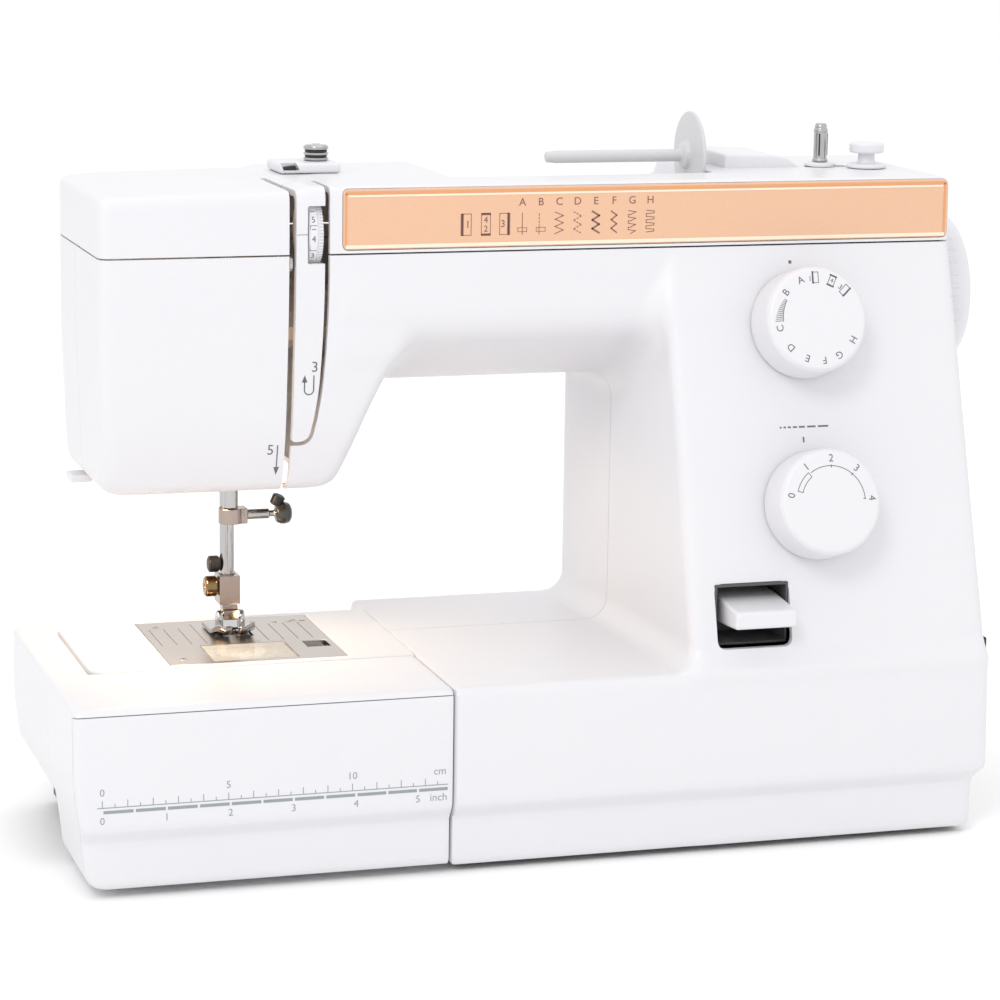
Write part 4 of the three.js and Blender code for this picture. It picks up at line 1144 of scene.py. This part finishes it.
# -------------------- strip and its pictures
def strip():
    low, high, left, right, front = 243.2, 267.4, -85.3, 177.0, PANEL_Y
    field = prism("y", rectangle(left, right, low, high, 2.4), front + 0.25, -31.8,
        "pattern_strip_skin")
    soften(field, 0.3, 2)
    dress(field, PEACH, replaces="pattern_strip")
    # Orange lines along the top, left and right edges of the strip: painted shade.
    p = Print(flat((0, front + 0.25, 0), (1, 0, 0), (0, 0, 1)))
    p.THICK = 0.16
    p.bar(left + 1.2, right - 1.2, high - 2.1, high - 0.9)
    p.bar(left + 0.9, left + 1.7, low + 1.6, high - 1.6)
    p.bar(right - 1.9, right - 0.9, low + 1.2, high - 1.6)
    p.done("strip_painted_shade_lines", PAINTED_SHADE_ORANGE, "machine")
    # Cream lines along the bottom edge and just under the top edge of the strip: painted highlight.
    rim = Print(flat((0, front + 0.25, 0), (1, 0, 0), (0, 0, 1)))
    rim.THICK = 0.2
    rim.bar(left + 1.2, right - 1.2, low + 0.5, low + 1.9)
    rim.bar(left + 2.2, right - 2.4, high - 3.1, high - 2.3)
    rim.done("strip_painted_highlight_lines", PAINTED_HIGHLIGHT_CREAM, "machine")
    p = Print(flat((0, front + 0.23, 0), (1, 0, 0), (0, 0, 1)))
    pitch, first, mid = 7.83, -10.4, 252.4
    for k, letter in enumerate("ABCDEFGH"):
        p.text(letter, 3.2, first + k * pitch, 261.0)
    at = [first + k * pitch for k in range(8)]
    top, low_end = mid + 4.4, mid - 4.4
    p.line([(at[0], top), (at[0], low_end)], 0.26)
    p.line([(at[0] - 1.9, mid - 3.3), (at[0] + 1.9, mid - 3.3), (at[0] + 1.9, mid - 1.7),
        (at[0] - 1.9, mid - 1.7)], 0.2, True)
    for z in np.arange(low_end, top, 1.5):
        p.line([(at[1] - 0.7, z), (at[1] - 0.7, min(z + 0.9, top))], 0.26)
    p.line([(at[1] - 1.9, mid - 3.3), (at[1] + 1.9, mid - 3.3), (at[1] + 1.9, mid - 1.7),
        (at[1] - 1.9, mid - 1.7)], 0.2, True)

    def zigzag(x, wide, legs):
        return [(x + (wide if i % 2 else -wide),
            top - i * (top - low_end) / legs) for i in range(legs + 1)]
    p.line(zigzag(at[2], 1.8, 6), 0.3)
    for (au, av), (bu, bv) in zip(zigzag(at[3], 1.7, 5), zigzag(at[3], 1.7, 5)[1:]):
        for t in (0.05, 0.4, 0.75):
            p.line([(au + (bu - au) * t, av + (bv - av) * t),
                (au + (bu - au) * (t + 0.16), av + (bv - av) * (t + 0.16))], 0.34)
    p.line(zigzag(at[4], 1.5, 5), 0.7)
    p.line(zigzag(at[5], 1.2, 5), 0.5)
    blind = []
    for k in range(4):
        z = top - k * 2.6
        blind += [(at[6] - 1.6, z), (at[6] + 1.6, z - 0.5), (at[6] - 0.6, z - 1.6),
            (at[6] - 1.6, z - 1.6)]
    p.line(blind[:-1], 0.28)
    comb = []
    for k in range(4):
        z = top - k * 2.5
        comb += [(at[7] - 1.7, z), (at[7] + 1.7, z - 0.3), (at[7] + 1.7, z - 1.1),
            (at[7] - 1.7, z - 1.4)]
    p.line(comb, 0.28)
    for x, side, number in ((-33.9, -1, "1"), (-25.8, 0, ""), (-18.1, 1, "3")):
        p.line([(x - 1.9, mid - 4.3), (x + 1.9, mid - 4.3), (x + 1.9, mid + 4.3),
            (x - 1.9, mid + 4.3)], 0.24, True)
        if side:
            p.bar(x + side * 1.9 - 0.6, x + side * 1.9 + 0.6, mid - 4.5, mid + 4.5)
            p.text(number, 3.0, x - side * 0.5, mid)
        else:
            p.bar(x - 2, x + 2, mid + 3.7, mid + 4.6)
            p.bar(x - 2, x + 2, mid - 4.6, mid - 3.7)
            p.text("4", 2.6, x, mid + 1.7)
            p.text("2", 2.6, x, mid - 1.9)
    p.done("strip_pictures", STRIP_INK, "machine")


# -------------------- thread path on the head
def tension_wheel():
    at, radius = (-99.2, -19, 249.5), 15.0
    made = lathe("tension_dial_skin", curved([
        (0, 0), (13.6, 0), (radius, 0.7), (radius, 3.4), (14.5, 3.7), (14.3, 5.9), (13.5, 6.0),
        (0, 6.0)], 0.3),
        at, (1, 0, 0), 96)
    dress(made, WHITE, "tension_knob", "tension_dial")
    ridges = ring("tension_dial_ridges", (-94.3, -19, 249.5), (1, 0, 0), 72, 14.35, 0.9, 0.55, 1.9,
        WHITE)
    dress(ridges, WHITE, "tension_knob")

    def wrap(u, v, h):
        a = v / radius  # up from straight in front
        r = radius + h - SINK
        return (at[0] + 2.0 + u, at[1] - r * math.cos(a), at[2] + r * math.sin(a))
    p = Print(wrap)
    for number, v in (("1", -20.2), ("2", -14.6), ("3", -9.0), ("4", -1.6), ("5", 6.2),
        ("6", 13.6), ("7", 20.4)):
        p.text(number, 2.6, -0.2, v)
    for v in (-17.4, -11.8, 2.4, 9.9, 17.0):
        p.bar(-1.1, 0.7, v - 0.15, v + 0.15)
    for v in (-6.4, 3.9):
        p.line([(-1.5, v - 0.0), (1.1, v)], 0.22)
    p.line([(-1.5, -6.4), (-1.5, 3.9)], 0.22)
    p.line([(1.1, -6.4), (1.1, 3.9)], 0.22)
    p.done("tension_dial_print", INK, "tension_knob")


def tongue_marks(piece):
    p = Print(draped(piece), 1.5)
    p.text("3", 4.4, -95.9, 195.9)
    p.arc((-98.1, 186.6), 1.9, 90, 270, 0.5, 12)
    p.line([(-96.2, 186.6), (-96.2, 192.4)], 0.5)
    p.line([(-100.0, 186.6), (-100.0, 190.6)], 0.5)
    p.shape([(-101.2, 189.8), (-98.8, 189.8), (-100.0, 192.8)])
    p.bar(-104.0, -99.7, 249.6, 249.85)
    p.done("tongue_print", INK, "machine")


def face_marks(piece):
    p = Print(draped(piece), 1.5)
    p.text("5", 4.4, -113.1, 161.9)
    p.line([(-110.2, 163.8), (-110.2, 153.4)], 0.5)
    p.shape([(-111.4, 154.6), (-110.2, 151.2), (-109.0, 154.6)])
    p.done("face_print", INK, "machine")


def top_fittings():
    guide = brick(-99, -73, 18, 42, 268.8, 273, "thread_guide_block")
    soften(guide, 1.4, 4)
    settle(guide)
    notch = prism("y", [(-97.4, 270.2), (-90.6, 270.2), (-93.5, 276), (-99.5, 276)], 10, 21.5)
    block, guide = guide, carve(guide, "upper_thread_guide_skin", [("DIFFERENCE", notch)])
    discard(block)
    dress(guide, WHITE, replaces="upper_thread_guide")
    hook = prism("y",
        [(-97.2, 270.4, 0.4), (-91.5, 270.4, 0.4), (-92.5, 272.2, 0.4), (-97.8, 271.4, 0.4)], 18.2,
        20.8,
                 "thread_notch")
    dress(hook, BLACK)
    at = (-80.8, 30, 273.3)
    cap = lathe("pretension_cap_skin", curved([
        (0, 0), (4.9, 0), (5.2, 0.3), (5.2, 1.1), (4.1, 1.4), (4.1, 2.0), (5.2, 2.3), (5.2, 3.2),
        (4.1, 3.5), (4.1, 4.2),
        (5.2, 4.5), (5.2, 5.6), (4.4, 6.3), (1.8, 6.6), (1.6, 6.2), (0, 6.2)], 0.2, 2), at,
        (0, 0, 1), 64)
    dress(cap, CHROME, replaces="pretension_cap")
    for k, height in enumerate((1.25, 3.35)):
        band = lathe(f"tension_band_{k + 1}", curved([
            (3.9, -0.1), (4.6, -0.1), (4.6, 0.85), (3.9, 0.85)], 0.1, 2) + [(3.9, -0.1)],
            (at[0], at[1], at[2] + height),
            (0, 0, 1), 48)
        dress(band, BLACK)
    y, z = 20, 274
    rod = lathe("spool_rod", curved([
        (0, 0), (1.7, 0), (2.3, 0.5), (2.3, 2.2), (2.65, 4), (2.65, 60), (5.6, 61), (6.2, 63),
        (14.2, 63.6), (18.3, 63.9),
        (18.7, 64.5), (18.4, 65.4), (7.5, 66.3), (6.4, 66.5), (0, 66.5)], 0.4, 3), (16, y, z),
        (1, 0, 0), 64)
    dress(rod, GREY, replaces="spool_pin")
    x, y = 139.5, 18
    slide = lathe("winder_slider_skin", curved([
        (0, -10), (3, -10), (3, -0.5), (6.5, -0.3), (6.5, 1.0), (5.9, 1.4), (0, 1.4)], 0.3),
        (x, y, 269), (0, 0, 1), 48)
    dress(slide, WHITE, "winder", "winder_slider")
    spindle = lathe("winder_spindle_skin", curved([
        (0, 0), (3.4, 0), (3.4, 0.9), (2.9, 1.2), (2.9, 12.5), (3.1, 12.8), (3.1, 13.6),
        (2.6, 14.2), (2.6, 15.2), (2.1, 16.3),
        (0, 16.3)], 0.25), (x, y, 270.7), (0, 0, 1), 48)
    dress(spindle, CHROME, "winder_shaft", "winder_spindle")
    clip = ring("winder_spring_clip", (x, y, 278), (0, 0, 1), 3, 2.95, 0.8, 0.7, 9.6, BLACK, -2.1)
    soften(clip, 0.25, 2)
    dress(clip, BLACK, "winder_shaft")
    stop = lathe("winder_stopper_skin", curved([
        (0, 0), (8.5, 0), (8.5, 1.1), (7.6, 1.7), (4.2, 2), (3.6, 3), (3.6, 6.2), (6.9, 6.4),
        (7.4, 7), (7.4, 9.9), (6.8, 10.6),
        (0, 10.8)], 0.4), (156.8, 8, 268.8), (0, 0, 1), 64)
    dress(stop, WHITE, replaces="winder_stopper")


# -------------------- needle, foot and plate
def needle_parts():
    clamp = refined("needle_clamp", 0.7)
    # Chrome with the sewing lamp's warm light painted in.
    dress(clamp, CHROME_PAINTED_LAMPLIGHT, "needle_group", "needle_clamp")
    y, z = 29, 124.8
    screw = lathe("needle_clamp_screw_skin", curved([
        (0, 0), (2.1, 0), (2.1, 9.4), (1.3, 9.8), (1.3, 11.6), (2.1, 12.3), (3.6, 13.2),
        (4.3, 14.9), (4.4, 16.4), (3.9, 18.2),
        (2.6, 19.1), (0, 19.3)], 0.3), (-110.5, y, z), (1, 0, 0), 48)
    dress(screw, CHROME, "needle_group", "needle_clamp_screw")
    knob = lathe("clamp_screw_knob", curved([
        (1.9, 0), (3.8, 0.6), (4.6, 2.4), (4.7, 4.2), (4.2, 6.0), (2.8, 7.0), (1.9, 7.1)],
        0.3) + [(1.9, 0)],
        (-98.4, y, z), (1, 0, 0), 48)
    dress(knob, SHINY_BLACK, "needle_group")
    thumb = ring("clamp_screw_grip", (-97.2, y, z + 5.6), (0.35, -0.2, 0.9), 18, 2.3, 0.8, 0.5,
        3.6, BLACK)
    dress(thumb, BLACK, "needle_group")
    core = lathe("clamp_guide_core",
        curved([(0, -2.2), (2.3, -2.2), (2.5, 0), (2.3, 2.2), (0, 2.2)], 0.3),
                 (-97.2, y, z + 5.6), (0.35, -0.2, 0.9), 24)
    dress(core, BLACK, "needle_group")
    holder = refined("foot_holder", 0.5)
    # Chrome with the sewing lamp's warm light painted in.
    dress(holder, CHROME_PAINTED_LAMPLIGHT, "presser", "foot_holder")
    head = lathe("foot_screw_head", curved([
        (0, 0), (3.9, 0), (4.2, 0.5), (4.2, 4.6), (3.7, 5.2), (1.2, 5.2), (1.1, 4.4), (0, 4.4)],
        0.3),
        (-120.9, 41, 92), (-1, 0, 0), 40)
    dress(head, BRASS, "presser", "foot_holder_screw")
    grip = ring("foot_screw_grip", (-123.4, 41, 92), (-1, 0, 0), 26, 4.15, 0.5, 0.45, 3.9,
        SHINY_BLACK)
    dress(grip, BRASS, "presser")
    latch = lathe("shank_thumb_piece", curved([
        (0, 0), (2.6, 0), (3.2, 0.6), (3.2, 4.6), (2.6, 5.2), (0, 5.2)], 0.3), (-119.4, 41, 101.6),
        (-1, 0, 0), 32)
    dress(latch, BLACK, "presser")
    grip = ring("shank_thumb_grip", (-122.2, 41, 101.6), (-1, 0, 0), 20, 3.2, 0.6, 0.5, 3.6, BLACK)
    dress(grip, BLACK, "presser")
    for node, body in (("needle_bar", "needle_group"), ("presser_bar", "presser")):
        made = refined(node, 0.25, 2)
        dress(made, CHROME, body, node)
    made = refined("needle", 0.0)
    dress(made, CHROME, "needle_group", "needle")


def presser_foot():
    """A zigzag sole with two upturned toes, a needle slot and the pin that the holder clips on."""
    x = NEEDLE_X
    side = [(18, 78.6, 0.5), (18.6, 77.2, 0.5), (21.5, 75, 2), (25, 74.1, 2), (45.4, 74.1, 0.5),
        (46, 75.2, 0.5), (44, 75.9, 1),
            (25.5, 75.9, 2), (22, 76.8, 2), (19.3, 79.0, 0.5)]
    sole = prism("x", side, x - 9, x + 9, "foot_sole")
    plan = prism("z",
        [(x - 9, 22, 3), (x - 6, 17.5, 2), (x - 1.6, 18.2, 1), (x - 1.4, 33, 0.4),
        (x + 1.4, 33, 0.4),
                       (x + 1.6, 18.2, 1), (x + 7.5, 17.5, 2), (x + 9, 22, 3), (x + 9, 47, 2),
                       (x - 9, 47, 2)], 60, 90)
    slot = prism("z", rectangle(x - 4.4, x + 4.4, 27.4, 30.6, 1.5), 60, 90)
    made = carve(sole, "foot_sole_cut", [("INTERSECT", plan), ("DIFFERENCE", slot)])
    discard(sole)
    soften(made, 0.3, 2)
    even = made.modifiers.new("even", "REMESH")
    even.mode, even.voxel_size = "VOXEL", 0.3 * MM
    settle(made)
    for v in made.data.vertices:  # the front corners curl up like a sled's
        off = abs(v.co.x / MM - x) - 4.5
        ahead = 30 - v.co.y / MM
        if off > 0 and ahead > 0:
            v.co.z += 0.065 * off * min(ahead, 9) * MM
    parts = [made]
    for left in (-122, -112.6):
        ear = prism("x",
            [(31.5, 75.2, 0.4), (38.5, 75.2, 0.4), (38.5, 80.2, 1.6), (36.6, 82.6, 1.4),
            (33.4, 82.6, 1.4),
                          (31.5, 80.2, 1.6)], left, left + 2, "foot_ear")
        soften(ear, 0.3, 2)
        parts.append(settle(ear))
    parts.append(lathe("foot_pin", curved([(0, 0), (1, 0), (1, 9.6), (0, 9.6)], 0.2),
        (-120.6, 35, 81), (1, 0, 0), 20))
    made = join(parts, "presser_foot_skin")
    dress(made, CHROME, "snap_foot", "presser_foot")


def plate():
    made = refined("needle_plate", 0.25, 2)
    dress(made, STEEL, replaces="needle_plate")
    cover = refined("hook_cover", 0.35)
    dress(cover, CLEAR, "bobbin_cover", "hook_cover")
    button = refined("hook_cover_release", 0.3, 2)
    dress(button, DARK_GREY_AND_PAINTED_SHADE, "cover_button", "hook_cover_release")
    made = screws("needle_plate_screws", [(-146, -10, 73.4), (-146, 47, 73.4), (-86, 47, 73.4)],
        3.2, 0.5, (0, 0, 1), STEEL)
    dress(made, STEEL)
    p = Print(flat((0, 0, BED_TOP), (1, 0, 0), (0, 1, 0)))
    for side in ((-130.5, -136.9, -143.2, -149.5), (-104.1, -97.7, -91.4, -85.0)):
        for k, x in enumerate(side):
            p.bar(x - 0.15, x + 0.15, 15, 44 if k else 50)
    for number, x in (("15", -88.3), ("20", -82.2), ("10", -94.6)):
        p.text(number, 1.9, x, 46.2)
    p.bar(-126, -108, 14.1, 14.35)
    p.done("needle_plate_lines", PLATE_INK, "machine")
    rows = []
    for dx, first, count in ((-7.2, 27.9, 15), (0.0, 33.4, 11), (5.8, 27.9, 15)):
        one = ROW.grow("feed_row", Count=count, Pitch=1.27 * MM, Wide=0.62 * MM, Short=2.3 * MM,
            Long=2.3 * MM, Every=1,
                       Thick=0.42 * MM, Material=STEEL)
        rows.append(stand(one, (NEEDLE_X + dx + 1.15, first, 73.1), (0, 0, 1), (0, 1, 0)))
    teeth = join(rows, "feed_teeth")
    dress(teeth, STEEL, "feed_teeth")
    dog = refined("feed_dog", 0.2, 2)
    dress(dog, STEEL, "feed_teeth", "feed_dog")


# -------------------- rule on the lid
def rule():
    y, zero, line = BASE_FRONT, -193.5, 34.6
    at = lambda x, z: (x, y, z)
    bars = []
    ticks = ROW.grow("rule_ticks", Count=28, Pitch=5 * MM, Wide=0.32 * MM, Short=1.5 * MM,
        Long=2.9 * MM, Every=2,
                     Thick=0.1 * MM, Material=INK)
    bars.append(stand(ticks, at(zero, line), (0, -1, 0), (1, 0, 0)))
    dashes = ROW.grow("rule_dashes", Count=11, Pitch=12.7 * MM, Wide=11.8 * MM, Short=1.25 * MM,
        Long=1.25 * MM, Every=1,
                      Thick=0.1 * MM, Material=INK)
    bars.append(stand(dashes, at(zero + 6.35, line - 2.4), (0, -1, 0), (1, 0, 0)))
    for b in bars:
        b.data.transform(Matrix.Translation((0, SINK * MM, 0)))
    grown = join(bars, "rule_scale")
    dress(grown, RULE_INK, "lid")
    p = Print(flat((0, y, 0), (1, 0, 0), (0, 0, 1)))
    p.bar(zero - 2, zero + 139.5, line - 0.18, line + 0.18)
    for value in (0, 5, 10):
        p.text(str(value), 3.0, zero + value * 10, line + 6.0)
    p.text("cm", 3.2, zero + 136, line + 5.6)
    for value in range(6):
        p.text(str(value), 3.0, zero + value * 25.4, line - 5.4)
    p.text("inch", 3.2, zero + 135.5, line - 5.2)
    p.done("rule_print", RULE_INK, "lid")


# -------------------- back, side and underside fittings
def other_fittings():
    for node, body, width, finish, slot in (
            ("carrying_handle", "handle", 1.6, WHITE, "white_plastic"),
            ("presser_lifter", "lifter", 0.9, WHITE, "white_plastic"),
            ("thread_cutter", "machine", 0.6, WHITE, "white_plastic"),
            ("drop_feed_lever", "drop_feed", 0.7, WHITE, "white_plastic"),
            ("power_switch", "switch", 0.8, BLACK, "black_plastic"),
            ("power_inlet", "machine", 0.5, BLACK, "black_plastic"),
            ("take_up_lever", "take_up", 0.3, CHROME, "chrome"),
            ("base_tray", "machine", 1.0, BLACK, "black_plastic")):
        made = refined(node, width)
        dress(made, finish, body, node)
    pins = []
    for y in (-21.5, -14.5):
        pin = lathe("inlet_pin", curved([(0, 0), (1.6, 0), (1.6, 7.2), (1.2, 8), (0, 8)], 0.2),
            (170.4, y, 41), (1, 0, 0), 20)
        pins.append(pin)
    dress(join(pins, "inlet_pins"), CHROME)
    made = screws("rear_cover_screws",
        [(170, 84, 20), (60, 84, 62), (-30, 84, 20), (168, 77.9, 228), (-160, 77.9, 228)],
                  3.4, 0.7, (0, 1, 0), BLACK)
    dress(made, BLACK)
    # Thin dark grey bars on the back: painted shade standing in for the motor vent slots.
    vents = ROW.grow("motor_vent_painted_shade", Count=14, Pitch=4.6 * MM, Wide=1.9 * MM, Short=22 * MM,
        Long=22 * MM, Every=1,
                     Thick=0.12 * MM, Material=DARK_GREY_AND_PAINTED_SHADE)
    stand(vents, (84, 83.97, 24), (0, 1, 0), (1, 0, 0))
    dress(vents, DARK_GREY_AND_PAINTED_SHADE)

strip()
pattern_dial()
length_dial()
panel_marks(front_skin)
reverse_lever()
hand_wheel()
tension_wheel()
tongue_marks(tongue_skin)
face_marks(face_skin)
top_fittings()
needle_parts()
presser_foot()
plate()
rule()
other_fittings()


# -------------------- camera, floor and light
def camera():
    data = bpy.data.cameras.new("camera")
    data.sensor_width, data.lens = 36.0, 122.0
    made = bpy.data.objects.new("camera", data)
    bpy.context.scene.collection.objects.link(made)
    yaw, pitch, roll = (math.radians(a) for a in (17.24, 11.12, 0.82))
    ahead = Vector((math.sin(yaw) * math.cos(pitch), math.cos(yaw) * math.cos(pitch),
        -math.sin(pitch)))
    side = Vector((math.cos(yaw), -math.sin(yaw), 0))
    above = side.cross(ahead)
    right = side * math.cos(roll) + above * math.sin(roll)
    up = above * math.cos(roll) - side * math.sin(roll)
    place = Matrix((right, up, -ahead)).transposed().to_4x4()
    place.translation = (-0.4227, -1.3363, 0.4110)
    made.matrix_world = place
    data.clip_start, data.clip_end = 0.05, 50.0
    bpy.context.scene.camera = made


def light(name, at, towards, size, power, colour=(1, 1, 1), size_y=None):
    data = bpy.data.lights.new(name, "AREA")
    data.shape, data.size, data.size_y = "RECTANGLE", size, size_y or size
    data.energy, data.color = power, colour
    made = bpy.data.objects.new(name, data)
    bpy.context.scene.collection.objects.link(made)
    made.location = at
    made.rotation_euler = (Vector(towards) - Vector(at)).to_track_quat("-Z", "Y").to_euler()


def studio():
    f = Finish("floor_paper")
    f.set("Base Color", f.mix(f.noise(3.0), (0.96, 0.96, 0.96), (0.98, 0.98, 0.98)))
    f.set("Roughness", f.noise(8.0) * 0.1 + 0.8)
    mesh = bpy.data.meshes.new("floor")
    mesh.from_pydata([(-8, -8, 0), (8, -8, 0), (8, 8, 0), (-8, 8, 0)], [], [(0, 1, 2, 3)])
    floor = bpy.data.objects.new("floor", mesh)
    bpy.context.scene.collection.objects.link(floor)
    floor.data.materials.append(f.material)
    world = bpy.data.worlds.new("studio")
    bpy.context.scene.world = world
    world.use_nodes = True
    world.node_tree.nodes["Background"].inputs["Color"].default_value = (1, 1, 1, 1)
    world.node_tree.nodes["Background"].inputs["Strength"].default_value = 1.04
    light("key_soft", (-0.9, -1.3, 1.5), (0, 0, 0.12), 0.6, 9)
    light("top_soft", (0.1, 0.2, 1.8), (0, 0, 0.1), 1.4, 3)
    light("lamp_warm", (-0.150, 0.012, 0.1455), (-0.118, 0.025, 0.077), 0.03, 0.09,
        (1.0, 0.72, 0.42))
    bpy.context.scene.view_settings.view_transform = "Standard"
    bpy.context.scene.view_settings.look = "None"


camera()
studio()
